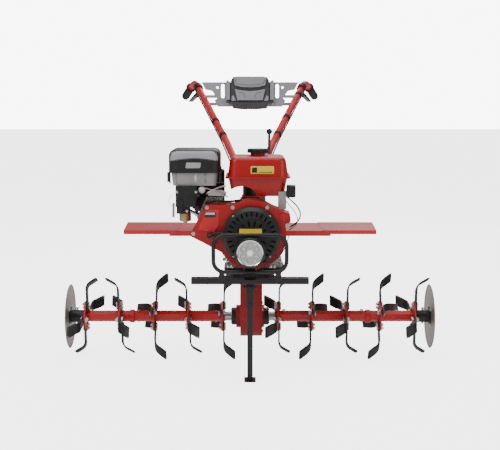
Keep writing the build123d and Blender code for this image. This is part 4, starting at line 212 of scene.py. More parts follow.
steelUnder = (0.33, 0.31, 0.29)
looks = {
    "tank_red": {"dark": (0.36, 0.0, 0.001), "light": (0.48, 0.001, 0.002), "rough": 0.34, "coat": 0.2, "relief": 0.03, "scale": 6.0, "chips": 0.0},
    "fender_red": {"dark": (0.56, 0.010, 0.014), "light": (0.72, 0.020, 0.026), "rough": 0.34, "coat": 0.2, "relief": 0.05, "chips": 0.12, "under": (0.30, 0.02, 0.02)},
    "handlebar_red": {"dark": (0.52, 0.008, 0.012), "light": (0.68, 0.016, 0.020), "rough": 0.30, "coat": 0.25, "relief": 0.05, "chips": 0.1, "under": (0.28, 0.02, 0.02)},
    "shaft_red": {"dark": (0.44, 0.004, 0.006), "light": (0.60, 0.010, 0.012), "rough": 0.36, "coat": 0.1, "relief": 0.10, "chips": 0.3, "under": (0.16, 0.04, 0.03)},
    "gearbox_red": {"dark": (0.22, 0.003, 0.004), "light": (0.36, 0.006, 0.008), "rough": 0.46, "relief": 0.35, "depth": 0.0008, "chips": 0.25, "under": (0.14, 0.02, 0.02)},
    "tine_black": {"dark": (0.005, 0.005, 0.0055), "light": (0.015, 0.0145, 0.014), "rough": 0.42, "relief": 0.25, "depth": 0.0006, "chips": 0.45, "under": steelUnder, "wearStart": 0.125, "wearWidth": 0.075},
    "black_metal": {"dark": (0.005, 0.005, 0.0055), "light": (0.013, 0.013, 0.0135), "rough": 0.38, "coat": 0.1, "relief": 0.14, "chips": 0.22, "under": (0.10, 0.10, 0.10)},
    "disc_zinc": {"dark": (0.26, 0.235, 0.21), "light": (0.50, 0.47, 0.43), "rough": 0.36, "metal": 0.8, "relief": 0.25, "scale": 22.0, "chips": 0.5, "under": (0.58, 0.56, 0.53), "brush": (1.0, 14.0, 1.0)},
    "zinc_bolt": {"dark": (0.50, 0.49, 0.46), "light": (0.74, 0.73, 0.70), "rough": 0.24, "metal": 1.0, "relief": 0.12, "chips": 0.2, "under": (0.30, 0.27, 0.22)},
    "bright_steel": {"dark": (0.46, 0.46, 0.46), "light": (0.68, 0.68, 0.67), "rough": 0.22, "metal": 1.0, "relief": 0.1, "brush": (30.0, 1.0, 1.0)},
    "dark_steel": {"dark": (0.020, 0.019, 0.018), "light": (0.055, 0.050, 0.046), "rough": 0.48, "metal": 0.6, "relief": 0.3, "chips": 0.3, "under": (0.16, 0.09, 0.05)},
    "cast_alloy": {"dark": (0.34, 0.34, 0.34), "light": (0.56, 0.56, 0.55), "rough": 0.44, "metal": 0.9, "relief": 0.5, "depth": 0.0007, "chips": 0.2, "under": (0.2, 0.2, 0.2)},
    "cast_iron_grey": {"dark": (0.10, 0.10, 0.10), "light": (0.20, 0.20, 0.20), "rough": 0.5, "metal": 0.8, "relief": 0.4},
    "lamp_chrome": {"dark": (0.74, 0.75, 0.77), "light": (0.90, 0.91, 0.92), "rough": 0.07, "roughSpread": 0.05, "metal": 1.0, "relief": 0.0, "scale": 6.0, "chips": 0.0},
    "lamp_glass": {"dark": (0.93, 0.95, 0.97), "light": (0.98, 0.99, 1.0), "rough": 0.03, "roughSpread": 0.02, "relief": 0.0, "alpha": 0.08, "chips": 0.0},
    "black_plastic": {"dark": (0.006, 0.006, 0.006), "light": (0.014, 0.0135, 0.013), "rough": 0.40, "relief": 0.2, "depth": 0.0003, "scale": 9.0},
    "bowl_grey": {"dark": (0.24, 0.235, 0.225), "light": (0.40, 0.395, 0.38), "rough": 0.22, "coat": 0.3, "relief": 0.06, "scale": 18.0},
    "filter_foam": {"dark": (0.03, 0.03, 0.03), "light": (0.08, 0.08, 0.08), "rough": 0.9, "relief": 0.8, "depth": 0.001},
    "brass_bowl": {"dark": (0.38, 0.26, 0.12), "light": (0.62, 0.46, 0.26), "rough": 0.34, "metal": 0.9, "relief": 0.2, "chips": 0.2, "under": (0.3, 0.22, 0.12)},
    "switch_red": {"dark": (0.50, 0.01, 0.01), "light": (0.66, 0.02, 0.02), "rough": 0.3, "relief": 0.05},
    "grip_rubber": {"dark": (0.006, 0.006, 0.006), "light": (0.015, 0.015, 0.015), "rough": 0.62, "relief": 0.35, "depth": 0.0004},
    "console_silver": {"dark": (0.34, 0.35, 0.37), "light": (0.46, 0.475, 0.50), "rough": 0.3, "metal": 0.3, "coat": 0.3, "relief": 0.06, "scale": 8.0},
    "cable_rubber": {"dark": (0.005, 0.005, 0.005), "light": (0.012, 0.012, 0.012), "rough": 0.42, "relief": 0.1},
}
looksExtra = {
    "badgeYellow": {"dark": (0.78, 0.52, 0.02), "light": (0.90, 0.64, 0.04), "rough": 0.25, "coat": 0.6, "relief": 0.03},
    "badgeBlack": {"dark": (0.012, 0.012, 0.012), "light": (0.022, 0.022, 0.022), "rough": 0.25, "coat": 0.5, "relief": 0.03},
    # printAndHighlightWhite: white for the shroud label's print and for the painted highlight on the air cleaner bowl
    "printAndHighlightWhite": {"dark": (0.62, 0.62, 0.62), "light": (0.76, 0.76, 0.76), "rough": 0.3, "relief": 0.03},
    "labelGrey": {"dark": (0.32, 0.32, 0.33), "light": (0.46, 0.46, 0.47), "rough": 0.28, "relief": 0.03},
    # ledWhitePaintedGlow: white with a faint painted glow (emission) that lightens the diodes and the plain centre cap
    "ledWhitePaintedGlow": {"dark": (0.90, 0.92, 0.95), "light": (0.96, 0.97, 1.0), "rough": 0.2, "relief": 0.02, "glow": (0.95, 0.97, 1.0), "glowStrength": 0.35},
    "tieYellow": {"dark": (0.60, 0.50, 0.06), "light": (0.74, 0.62, 0.10), "rough": 0.4, "relief": 0.05},
    "knobIvory": {"dark": (0.58, 0.57, 0.54), "light": (0.72, 0.71, 0.68), "rough": 0.3, "relief": 0.05},
    "reflectorSilver": {"dark": (0.60, 0.60, 0.57), "light": (0.74, 0.74, 0.71), "rough": 0.22, "metal": 0.35, "relief": 0.0, "scale": 5.0, "chips": 0.0},
    "cupGrey": {"dark": (0.30, 0.30, 0.24), "light": (0.40, 0.40, 0.33), "rough": 0.3, "metal": 0.3, "relief": 0.0, "chips": 0.0},
    # lidPaintedHighlight: lighter grey for the painted highlight on the air cleaner lid's top face
    "lidPaintedHighlight": {"dark": (0.34, 0.34, 0.36), "light": (0.46, 0.46, 0.49), "rough": 0.3, "relief": 0.04, "chips": 0.0},
    "consoleShade": {"dark": (0.050, 0.048, 0.050), "light": (0.080, 0.078, 0.080), "rough": 0.34, "relief": 0.15, "depth": 0.0003},
}
finishes = {name: makeMaterial(name, look) for name, look in looks.items()}
finishes.update({name: makeMaterial(name, look) for name, look in looksExtra.items()})
print("materials made")


# ---------------------------------------------------------------- finishing the CAD nodes
def makeSmoothGroup():
    """Joins the loose triangles and shades them smooth, except across sharp edges."""
    tree = bpy.data.node_groups.new("smoothByAngle", "GeometryNodeTree")
    tree.interface.new_socket("Geometry", in_out="INPUT", socket_type="NodeSocketGeometry")
    tree.interface.new_socket("Geometry", in_out="OUTPUT", socket_type="NodeSocketGeometry")
    start = tree.nodes.new("NodeGroupInput")
    end = tree.nodes.new("NodeGroupOutput")
    weld = tree.nodes.new("GeometryNodeMergeByDistance")
    weld.inputs["Distance"].default_value = 0.00001
    allSmooth = tree.nodes.new("GeometryNodeSetShadeSmooth")
    allSmooth.domain = "FACE"
    sharp = tree.nodes.new("GeometryNodeSetShadeSmooth")
    sharp.domain = "EDGE"
    sharp.inputs["Shade Smooth"].default_value = False
    angle = tree.nodes.new("GeometryNodeInputMeshEdgeAngle")
    over = tree.nodes.new("FunctionNodeCompare")
    over.data_type = "FLOAT"
    over.operation = "GREATER_THAN"
    over.inputs[1].default_value = radians(32)
    links = tree.links
    links.new(start.outputs[0], weld.inputs["Geometry"])
    links.new(weld.outputs[0], allSmooth.inputs["Geometry"])
    links.new(allSmooth.outputs[0], sharp.inputs["Geometry"])
    links.new(angle.outputs["Unsigned Angle"], over.inputs[0])
    links.new(over.outputs[0], sharp.inputs["Selection"])
    links.new(sharp.outputs[0], end.inputs[0])
    return tree


smoothGroup = makeSmoothGroup()


def smoothAndBevel(obj, width, segments=2):
    smooth = obj.modifiers.new("smoothByAngle", "NODES")
    smooth.node_group = smoothGroup
    if width > 0:
        bevel = obj.modifiers.new("softEdges", "BEVEL")
        bevel.width = width * mm
        bevel.segments = segments
        bevel.limit_method = "ANGLE"
        bevel.angle_limit = radians(40)
        bevel.harden_normals = True


slotOf = {part["node"]: part["material_slot"] for part in frame["record"]["subparts"]}
bevelWidth = {"tine_blades": 0.8, "gearbox_case": 1.5, "gearbox_side_cover": 1.2, "engine_block": 0.8, "crankcase_cover": 1.0, "clutch_housing": 1.0}
noBevel = {"drive_chain", "headlight_lens", "shaft_bearings", "filter_element", "cross_shaft", "input_shaft", "recoil_cover", "grips", "handlebar_cables"}
for nodeName, nodeObject in nodes.items():
    nodeObject.data.materials.clear()
    nodeObject.data.materials.append(finishes[slotOf[nodeName]])
    smoothAndBevel(nodeObject, 0 if nodeName in noBevel else bevelWidth.get(nodeName, 0.6))
print("frame finished")


# ---------------------------------------------------------------- mesh helpers
def keepPiece(mesh, name, body, finish, smooth=True, bevel=0.0):
    """Make a finished object of a mesh, give it a finish and let it ride on a body."""
    obj = bpy.data.objects.new(name, mesh)
    bpy.context.scene.collection.objects.link(obj)
    mesh.materials.clear()
    mesh.materials.append(finishes[finish])
    if smooth:
        smoothAndBevel(obj, bevel)
    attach(obj, body)
    return obj


def meshFrom(build, name):
    """Mesh of what build() makes in a bmesh, with outward faces."""
    work = bmesh.new()
    build(work)
    bmesh.ops.recalc_face_normals(work, faces=work.faces)
    mesh = bpy.data.meshes.new(name)
    work.to_mesh(mesh)
    work.free()
    return mesh


def basisOf(direction, up=None):
    """Three unit vectors: two across a direction, and the direction."""
    forward = Vector(direction).normalized()
    up = Vector(up or ((0, 0, 1) if abs(forward.z) < 0.9 else (0, 1, 0)))
    right = up.cross(forward).normalized()
    return right, forward.cross(right).normalized(), forward


def addLathe(work, profile, origin, direction, steps=48):
    """Turned solid: profile is (radius, distance along direction) pairs in metres."""
    right, up, forward = basisOf(direction)
    rings = []
    for radius, along in profile:
        centre = origin + forward * along
        if radius < 1e-7:
            rings.append([work.verts.new(centre)])
            continue
        ring = []
        for step in range(steps):
            turn = 2 * pi * step / steps
            ring.append(work.verts.new(centre + right * radius * cos(turn) + up * radius * sin(turn)))
        rings.append(ring)
    for first, second in zip(rings, rings[1:]):
        for step in range(steps):
            following = (step + 1) % steps
            if len(first) == 1 and len(second) == 1:
                continue
            if len(first) == 1:
                work.faces.new((first[0], second[step], second[following]))
            elif len(second) == 1:
                work.faces.new((first[step], second[0], first[following]))
            else:
                work.faces.new((first[step], second[step], second[following], first[following]))


def lathe(name, profile, origin, direction, body, finish, steps=48, bevel=0.0):
    mesh = meshFrom(lambda work: addLathe(work, profile, Vector(origin), direction, steps), name)
    return keepPiece(mesh, name, body, finish, bevel=bevel)


def addPrism(work, outline, origin, right, up, forward, depth, inset=0.0):
    """Extruded outline whose far face is drawn in by inset."""
    middle = Vector((sum(p[0] for p in outline), sum(p[1] for p in outline))) / len(outline)
    near = [work.verts.new(origin + right * x + up * y) for x, y in outline]
    far = []
    for x, y in outline:
        offset = Vector((x, y)) - middle
        pulled = middle + offset * (1 - inset / max(offset.length, 1e-6))
        far.append(work.verts.new(origin + right * pulled.x + up * pulled.y + forward * depth))
    count = len(outline)
    for index in range(count):
        following = (index + 1) % count
        work.faces.new((near[index], near[following], far[following], far[index]))
    work.faces.new(near[::-1])
    work.faces.new(far)


def roundedOutline(width, height, radius, steps=6):
    points = []
    for cornerX, cornerY, start in ((1, 1, 0), (-1, 1, 90), (-1, -1, 180), (1, -1, 270)):
        for step in range(steps + 1):
            turn = radians(start + 90 * step / steps)
            points.append((
                cornerX * (width / 2 - radius) + radius * cos(turn),
                cornerY * (height / 2 - radius) + radius * sin(turn),
            ))
    return points


def prism(name, outline, origin, facing, body, finish, depth, inset=0.0, up=(0, 0, 1), bevel=0.5):
    """Extruded plate; its outline is in metres and it grows along facing."""
    right, top, forward = basisOf(facing, up)
    mesh = meshFrom(lambda work: addPrism(work, outline, Vector(origin), right, top, forward, depth, inset), name)
    return keepPiece(mesh, name, body, finish, bevel=bevel)


def curveMesh(points, radius, name, resolution=8, closed=False):
    """Round tube along a smooth line through the space of its points."""
    curve = bpy.data.curves.new(name, "CURVE")
    curve.dimensions = "3D"
    spline = curve.splines.new("NURBS")
    spline.points.add(len(points) - 1)
    for target, source in zip(spline.points, points):
        target.co = (*source, 1.0)
    spline.use_cyclic_u = closed
    spline.order_u = 3
    spline.use_endpoint_u = not closed
    spline.resolution_u = resolution
    curve.bevel_depth = radius
    curve.bevel_resolution = 4
    curve.use_fill_caps = not closed
    holder = bpy.data.objects.new(name, curve)
    bpy.context.scene.collection.objects.link(holder)
    bpy.context.view_layer.update()
    mesh = bpy.data.meshes.new_from_object(holder.evaluated_get(bpy.context.evaluated_depsgraph_get()))
    bpy.data.objects.remove(holder)
    return mesh


def tube(name, points, diameter, body, finish="cable_rubber", closed=False):
    mesh = curveMesh([Vector(p) for p in points], diameter / 2 * mm, name, closed=closed)
    return keepPiece(mesh, name, body, finish)


def crossingTube(name, points, diameter, bodies, start, end, finish="cable_rubber"):
    """A tube along its points, baked in place; it is attached to no body."""
    mesh = curveMesh([Vector(p) for p in points], diameter / 2 * mm, name, resolution=12)
    mesh.materials.clear()
    mesh.materials.append(finishes[finish])
    obj = bpy.data.objects.new(name, mesh)
    bpy.context.scene.collection.objects.link(obj)
    for face in mesh.polygons:
        face.use_smooth = True
    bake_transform(obj)
    return obj


def surfaceTree(nodeName):
    mesh = nodes[nodeName].data
    return BVHTree.FromPolygons([v.co for v in mesh.vertices], [p.vertices for p in mesh.polygons])


def decal(name, nodeName, body, finish, box, lift=0.4, columns=14, rows=6, skew=0.0, radius=2.0, arch=0.0):
    """A thin label or painted highlight that lies on a node's front; box is left, right, low and high in millimetres.
    """
    tree = surfaceTree(nodeName)
    left, right, low, high = box
    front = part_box(nodeName)[0].y - 0.05

    def build(work):
        grid = []
        for row in range(rows + 1):
            line = []
            for column in range(columns + 1):
                across = column / columns
                rise = row / rows
                x = left + (right - left) * across + skew * rise
                z = low + (high - low) * rise + arch * sin(pi * across) * (1 - rise)
                if row in (0, rows):
                    x += radius * (1 if column == 0 else -1 if column == columns else 0)
                hit = tree.ray_cast(Vector((x * mm, front, z * mm)), Vector((0, 1, 0)))[0]
                line.append(work.verts.new(hit + Vector((0, -lift * mm, 0))) if hit else None)
            grid.append(line)
        for row in range(rows):
            for column in range(columns):
                square = (grid[row][column], grid[row][column + 1], grid[row + 1][column + 1], grid[row + 1][column])
                if all(square):
                    work.faces.new(square)

    mesh = meshFrom(build, name)
    obj = keepPiece(mesh, name, body, finish, smooth=False)
    for face in mesh.polygons:
        face.use_smooth = True
    thick = obj.modifiers.new("thickness", "SOLIDIFY")
    thick.thickness = 0.0003
    return obj


def makeBoltGroup():
    """Copies one bolt head to each point of a mesh, turned along the point's stored direction."""
    tree = bpy.data.node_groups.new("boltHeads", "GeometryNodeTree")
    tree.interface.new_socket("Geometry", in_out="INPUT", socket_type="NodeSocketGeometry")
    head = tree.interface.new_socket("Head", in_out="INPUT", socket_type="NodeSocketObject")
    paint = tree.interface.new_socket("Finish", in_out="INPUT", socket_type="NodeSocketMaterial")
    tree.interface.new_socket("Geometry", in_out="OUTPUT", socket_type="NodeSocketGeometry")
    start = tree.nodes.new("NodeGroupInput")
    end = tree.nodes.new("NodeGroupOutput")
    copies = tree.nodes.new("GeometryNodeInstanceOnPoints")
    headInfo = tree.nodes.new("GeometryNodeObjectInfo")
    direction = tree.nodes.new("GeometryNodeInputNamedAttribute")
    direction.data_type = "FLOAT_VECTOR"
    direction.inputs["Name"].default_value = "direction"
    turn = tree.nodes.new("FunctionNodeAlignRotationToVector")
    turn.axis = "Z"
    real = tree.nodes.new("GeometryNodeRealizeInstances")
    painted = tree.nodes.new("GeometryNodeSetMaterial")
    links = tree.links
    links.new(start.outputs[0], copies.inputs["Points"])
    links.new(start.outputs[1], headInfo.inputs[0])
    links.new(headInfo.outputs["Geometry"], copies.inputs["Instance"])
    links.new(direction.outputs[0], turn.inputs["Vector"])
    links.new(turn.outputs[0], copies.inputs["Rotation"])
    links.new(copies.outputs[0], real.inputs[0])
    links.new(real.outputs[0], painted.inputs["Geometry"])
    links.new(start.outputs[2], painted.inputs["Material"])
    links.new(painted.outputs[0], end.inputs[0])
    return tree, head.identifier, paint.identifier


boltGroup, headSocket, paintSocket = makeBoltGroup()


def addHexHead(work, radius, height):
    """Chamfered hexagon head on its washer face, along +Z."""
    addLathe(work, [(0, 0), (radius * 1.25, 0), (radius * 1.25, height * 0.18), (0, height * 0.18)], Vector(), (0, 0, 1), 16)
    hexagon = [(radius * cos(radians(60 * i)), radius * sin(radians(60 * i))) for i in range(6)]
    addPrism(work, hexagon, Vector((0, 0, height * 0.18)), Vector((1, 0, 0)), Vector((0, 1, 0)), Vector((0, 0, 1)), height * 0.66)
    cap = [(0, height * 0.84), (radius * 0.86, height * 0.84), (radius * 0.78, height), (0, height)]
    addLathe(work, cap, Vector(), (0, 0, 1), 18)


def addSlotHead(work, radius, height):
    """Domed screw head along +Z with a round recess in its top."""
    dome = [(0, 0), (radius, 0), (radius, height * 0.4), (radius * 0.85, height * 0.8), (radius * 0.45, height), (radius * 0.2, height)]
    dome += [(radius * 0.16, height * 0.55), (0, height * 0.5)]
    addLathe(work, dome, Vector(), (0, 0, 1), 16)


def boltHeads(name, places, body, radius, height, finish="zinc_bolt", build=addHexHead):
    """One piece that holds the same head at several (point, direction) places."""
    headMesh = meshFrom(lambda work: build(work, radius * mm, height * mm), name + "Head")
    head = bpy.data.objects.new(name + "Head", headMesh)
    bpy.context.scene.collection.objects.link(head)
    cloud = bpy.data.meshes.new(name + "Points")
    cloud.from_pydata([tuple(point) for point, direction in places], [], [])
    stored = cloud.attributes.new("direction", "FLOAT_VECTOR", "POINT")
    stored.data.foreach_set("vector", [v for point, direction in places for v in direction])
    holder = bpy.data.objects.new(name + "Holder", cloud)
    bpy.context.scene.collection.objects.link(holder)
    modifier = holder.modifiers.new("boltHeads", "NODES")
    modifier.node_group = boltGroup
    modifier[headSocket] = head
    modifier[paintSocket] = finishes[finish]
    bpy.context.view_layer.update()
    mesh = bpy.data.meshes.new_from_object(holder.evaluated_get(bpy.context.evaluated_depsgraph_get()))
    bpy.data.objects.remove(holder)
    bpy.data.objects.remove(head)
    return keepPiece(mesh, name, body, finish)


front = Vector((0, -1, 0))
back = Vector((0, 1, 0))
rightward = Vector((1, 0, 0))
leftward = Vector((-1, 0, 0))
upward = Vector((0, 0, 1))


# ---------------------------------------------------------------- headlight
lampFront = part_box("headlight_housing")[0].y
lampCentre = Vector((0, lampFront, (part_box("headlight_housing")[0].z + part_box("headlight_housing")[1].z) / 2))
lamp = {"lens": 42.0, "cups": 6, "cupCircle": 25.0, "cupRadius": 11.6, "cupDepth": 15.0, "plate": 7.0}


def millimetres(profile):
    return [(radius * mm, along * mm) for radius, along in profile]


shell = [(43, 17), (46, 16), (46, 42), (43, 53), (34, 60.5), (18, 63.6), (0, 64)]
lampShell = lathe("lampShell", millimetres(shell), lampCentre, back, "chassis", "black_metal", 64)
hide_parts("headlight_housing")
bezel = [(44, 8), (44, 3), (45.2, 0.8), (46.5, 0), (49, 0.5), (51, 2.4), (52, 5.5), (51.6, 13), (50.4, 16), (46, 17.2), (43, 17.2)]
lathe("lampBezel", millimetres(bezel), lampCentre, back, "chassis", "black_metal", 72)
chromeRing = [(40.2, 8), (40.2, 4.4), (41.0, 3.6), (43.6, 1.2), (44.6, 0.9), (45.0, 1.8), (44.0, 4), (43.0, 8), (40.2, 8)]
lathe("lampChromeRing", millimetres(chromeRing), lampCentre, back, "chassis", "lamp_chrome", 72)


def addReflector(work):
    """Disc with a bowl pressed in for each light and a plain round centre."""
    cups = [Vector((lamp["cupCircle"] * cos(radians(90 + 60 * i)), lamp["cupCircle"] * sin(radians(90 + 60 * i)))) for i in range(lamp["cups"])]
    rings, steps = 46, 168
    grid = []
    for ring in range(rings + 1):
        radius = lamp["lens"] * ring / rings
        line = []
        for step in range(steps):
            spot = Vector((radius * cos(2 * pi * step / steps), radius * sin(2 * pi * step / steps)))
            nearest = min((spot - cup).length for cup in cups)
            depth = lamp["plate"] + lamp["cupDepth"] * max(0.0, 1 - (nearest / lamp["cupRadius"]) ** 2)
            line.append(work.verts.new(lampCentre + Vector((spot.x, depth, spot.y)) * mm))
        grid.append(line)
    for inner, outer in zip(grid, grid[1:]):
        for step in range(steps):
            following = (step + 1) % steps
            work.faces.new((inner[step], outer[step], outer[following], inner[following]))
    bmesh.ops.remove_doubles(work, verts=work.verts, dist=0.00001)


reflectorMesh = meshFrom(addReflector, "lampReflector")
keepPiece(reflectorMesh, "lampReflector", "chassis", "reflectorSilver")
dome = millimetres([(0, -5.0), (1.6, -4.6), (2.9, -3.2), (3.4, -1.2), (3.4, 1.0), (0, 1.0)])
for index in range(lamp["cups"]):
    turn = radians(90 + 60 * index)
    spot = lampCentre + Vector((cos(turn) * lamp["cupCircle"], lamp["plate"] + lamp["cupDepth"] - 1, sin(turn) * lamp["cupCircle"])) * mm
    rim = millimetres([(9.6, 2.2), (10.2, 1.4), (11.2, 1.4), (11.8, 2.4), (11.2, 3.4), (9.8, 3.4), (9.6, 2.2)])
    rimCentre = spot - Vector((0, (lamp["cupDepth"] + 1) * mm, 0))
    lathe(f"lampCupRim{index}", rim, rimCentre, back, "chassis", "cupGrey", 36)
    lathe(f"lampDiode{index}", dome, spot, back, "chassis", "ledWhitePaintedGlow", 20)
centreCap = millimetres([(0, 3.6), (6.5, 3.8), (8.4, 4.6), (9.2, 6.4), (9.2, 8), (0, 8)])
# the diodes above and this centre cap carry a faint painted glow, not light of their own
lathe("lampCentreCap", centreCap, lampCentre, back, "chassis", "ledWhitePaintedGlow", 40)
boltHeads("lampBracketBolts", [(at(0, -430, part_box("bumper_brackets")[0].z / mm + 13), upward), (at(-17.2, -482, 414), leftward), (at(17.2, -482, 414), rightward)], "chassis", 6.5, 6)
print("headlight made")

# ---------------------------------------------------------------- recoil starter and shroud
recoil = {"front": -412.0, "radius": 101.0, "screen": 31.0}
crankX, crankZ = crank.x / mm, crank.z / mm


def addScreen(work):
    """Woven guard behind the slots: two sets of crossed wires, cut to a disc."""
    reach, pitch, half = 84.0, 5.6, 0.65
    count = int(reach / pitch)
    for slope in (1, -1):
        along = Vector((cos(radians(45)), 0, slope * sin(radians(45))))
        side = Vector((-along.z, 0, along.x))
        for index in range(-count, count + 1):
            half_length = sqrt(max(reach ** 2 - (index * pitch) ** 2, 0.0))
            if half_length < 4:
                continue
            middle = Vector((crankX, recoil["front"] + 9 + slope * 0.5, crankZ)) + side * index * pitch
            ends = []
            for end in (-1, 1):
                centre = middle + along * half_length * end
                ring = []
                for turn in range(4):
                    angle = radians(45 + 90 * turn)
                    ring.append(work.verts.new(at(*(centre + side * half * cos(angle) + Vector((0, half * sin(angle), 0))))))
                ends.append(ring)
            for turn in range(4):
                following = (turn + 1) % 4
                work.faces.new((ends[0][turn], ends[0][following], ends[1][following], ends[1][turn]))
            work.faces.new(ends[0][::-1])
            work.faces.new(ends[1])


keepPiece(meshFrom(addScreen, "recoilScreen"), "recoilScreen", "chassis", "dark_steel", smooth=False)
boss = millimetres([(0, -2.2), (13, -2.0), (17, -0.6), (19, 1.5), (19, 3), (0, 3)])
lathe("recoilBoss", boss, at(crankX, recoil["front"], crankZ), back, "chassis", "black_plastic", 48)
ringProfile = millimetres([(63, 0.2), (64.5, -1.4), (67.5, -1.4), (69, 0.2), (69, 1.5), (63, 1.5), (63, 0.2)])
lathe("recoilRing", ringProfile, at(crankX, recoil["front"], crankZ), back, "chassis", "black_plastic", 72)
recoilScrews = [(at(crankX + 94 * cos(radians(a)), recoil["front"] + 9, crankZ + 94 * sin(radians(a))), front) for a in (48, 132, 228, 312)]
boltHeads("recoilScrews", recoilScrews, "chassis", 4.5, 4, "zinc_bolt", addSlotHead)
badgeBack = roundedOutline(86 * mm, 27 * mm, 4 * mm)
prism("recoilBadgePlate", badgeBack, at(2, recoil["front"] + 1, 543), front, "chassis", "badgeBlack", 3.0 * mm, 1.0 * mm)
prism("recoilBadge", roundedOutline(78 * mm, 19 * mm, 2.5 * mm), at(2, recoil["front"] - 2, 543), front, "chassis", "badgeYellow", 0.8 * mm, 0.2 * mm, bevel=0.2)
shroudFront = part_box("fan_shroud")[0].y
panelOutline = [(-36 * mm, -33 * mm), (22 * mm, -45 * mm), (40 * mm, -18 * mm), (40 * mm, 36 * mm), (-6 * mm, 36 * mm)]
prism("shroudPanel", panelOutline, Vector((-147 * mm, shroudFront + 0.001, 578 * mm)), front, "chassis", "fender_red", 3.2 * mm, 2.0 * mm, bevel=0.8)
stripe = [(-18 * mm, -9 * mm), (22 * mm, -9 * mm), (24 * mm, 9 * mm), (-10 * mm, 9 * mm)]
prism("shroudStripeDark", stripe, Vector((-142 * mm, shroudFront - 0.0022, 597 * mm)), front, "chassis", "badgeBlack", 0.5 * mm, bevel=0.0)
prism("shroudStripeLight", [(x * 0.86, z * 0.4 + 4 * mm) for x, z in stripe], Vector((-142 * mm, shroudFront - 0.0027, 597 * mm)), front, "chassis", "printAndHighlightWhite", 0.4 * mm, bevel=0.0)
shroudBolts = [(Vector((x * mm, shroudFront, z * mm)), front) for x, z in ((-198, 530), (-150, 622), (-60, 622), (60, 622), (130, 560), (-90, 440), (104, 446))]
boltHeads("shroudBolts", shroudBolts, "chassis", 5.5, 5)
boltHeads("shroudFeet", [(at(x, -372, 414), front) for x in (-76, -64, 72, 84)], "chassis", 6.0, 8, "zinc_bolt", addSlotHead)
decal("tankBadge", "fuel_tank", "chassis", "badgeYellow", (2, 85, 736, 763))
decal("tankBadgeMark", "fuel_tank", "chassis", "badgeBlack", (7, 25, 740, 759), lift=0.9, radius=0.5)
decal("tankBadgeLine", "fuel_tank", "chassis", "badgeBlack", (30, 79, 740, 742.5), lift=0.9, radius=0.2, rows=1)
print("shroud made")

# ---------------------------------------------------------------- rotor ends and shafts
discLow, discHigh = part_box("guard_discs")
sleeve = {"start": 641.0, "outer": 24.0, "inner": 15.5}
for word, way in (("Left", leftward), ("Right", rightward)):
    centre = Vector((0, axle.y, axle.z))
    discX = discHigh.x / mm
    disc = [(0, discX - 2.4), (60, discX - 2.4), (64, discX - 2.2), (112, discX - 2.2), (118, discX - 2.9), (122, discX - 5.0), (123.6, discX - 4.6), (124, discX - 3.2), (121, discX - 1.2)]
    disc += [(116, discX - 0.3), (110, discX), (66, discX), (62, discX - 0.3), (0, discX - 0.3)]
    discPiece = lathe(f"guardDisc{word}", millimetres(disc), centre, way, "rotor", "disc_zinc", 96)
    collar = [(sleeve["inner"], sleeve["start"]), (sleeve["outer"] - 1, sleeve["start"]), (sleeve["outer"], sleeve["start"] + 1), (sleeve["outer"], discX - 8)]
    collar += [(sleeve["outer"] + 8, discX - 6), (sleeve["outer"] + 8, discX - 2.4), (sleeve["inner"], discX - 2.4), (sleeve["inner"], sleeve["start"])]
    lathe(f"endSleeve{word}", millimetres(collar), centre, way, "rotor", "black_metal", 56)
    heads = []
    for index in range(4):
        turn = radians(45 + 90 * index)
        heads.append((Vector((way.x * (discX - 2.4) * mm, axle.y + 42 * mm * cos(turn), axle.z + 42 * mm * sin(turn))), -way))
    boltHeads(f"discBolts{word}", heads, "rotor", 6.0, 5)
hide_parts("guard_discs")
sealPlaces = []
for word, way in (("Left", leftward), ("Right", rightward)):
    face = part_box("axle_seal_flanges")[0 if way.x < 0 else 1].x
    for index in range(6):
        turn = radians(30 + 60 * index)
        sealPlaces.append((Vector((face, axle.y + 26 * mm * cos(turn), axle.z + 26 * mm * sin(turn))), way))
boltHeads("sealBolts", sealPlaces, "chassis", 4.0, 3.5)
collarX = 456.9
for word, side in (("Right", 1), ("Left", -1)):
    ring = [(19.5, -9), (24.5, -9), (25.5, -7.5), (25.5, 7.5), (24.5, 9), (19.5, 9), (19.5, -9)]
    lathe(f"jointCollar{word}", millimetres(ring), Vector((side * collarX * mm, axle.y, axle.z)), rightward, "rotor", "shaft_red", 48)
print("rotor made")


# ---------------------------------------------------------------- console
def frontPlate(name, outline, y, depth, body, finish, inset=0.0, bevel=0.6):
    """Plate facing the front, from an outline of (x, z) pairs and the y of its back, all in millimetres."""
    points = [(x * mm, z * mm) for x, z in outline]
    return prism(name, points, at(0, y, 0), front, body, finish, depth * mm, inset * mm, bevel=bevel)


console = {"back": 739.0, "body": 712.0, "face": 704.0, "hood": 699.0}
bodyOutline = [(-86, 986), (86, 986), (87, 1076), (76, 1096), (-76, 1096), (-87, 1076)]
consoleBody = frontPlate("consoleBody", bodyOutline, console["back"], 27, "handlebar", "consoleShade", 2.0)
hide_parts("console_panel")
hoodOutline = [(-70, 1057), (-42, 1049), (0, 1046), (42, 1049), (70, 1057), (75, 1090), (62, 1097.5), (-62, 1097.5), (-75, 1090)]
frontPlate("consoleHood", hoodOutline, console["body"], 13, "handlebar", "console_silver", 4.0, 1.2)
faceOutline = [(-58, 990), (58, 990), (69, 1041), (34, 1035), (0, 1033), (-34, 1035), (-69, 1041)]
frontPlate("consoleFace", faceOutline, console["body"], 8, "handlebar", "console_silver", 2.5, 1.0)
lipOutline = [(-78, 955), (-40, 950), (40, 950), (78, 955), (82, 986), (40, 982), (-40, 982), (-82, 986)]
frontPlate("consoleLip", lipOutline, 728.0, 28, "handlebar", "consoleShade", 4.0, 1.5)
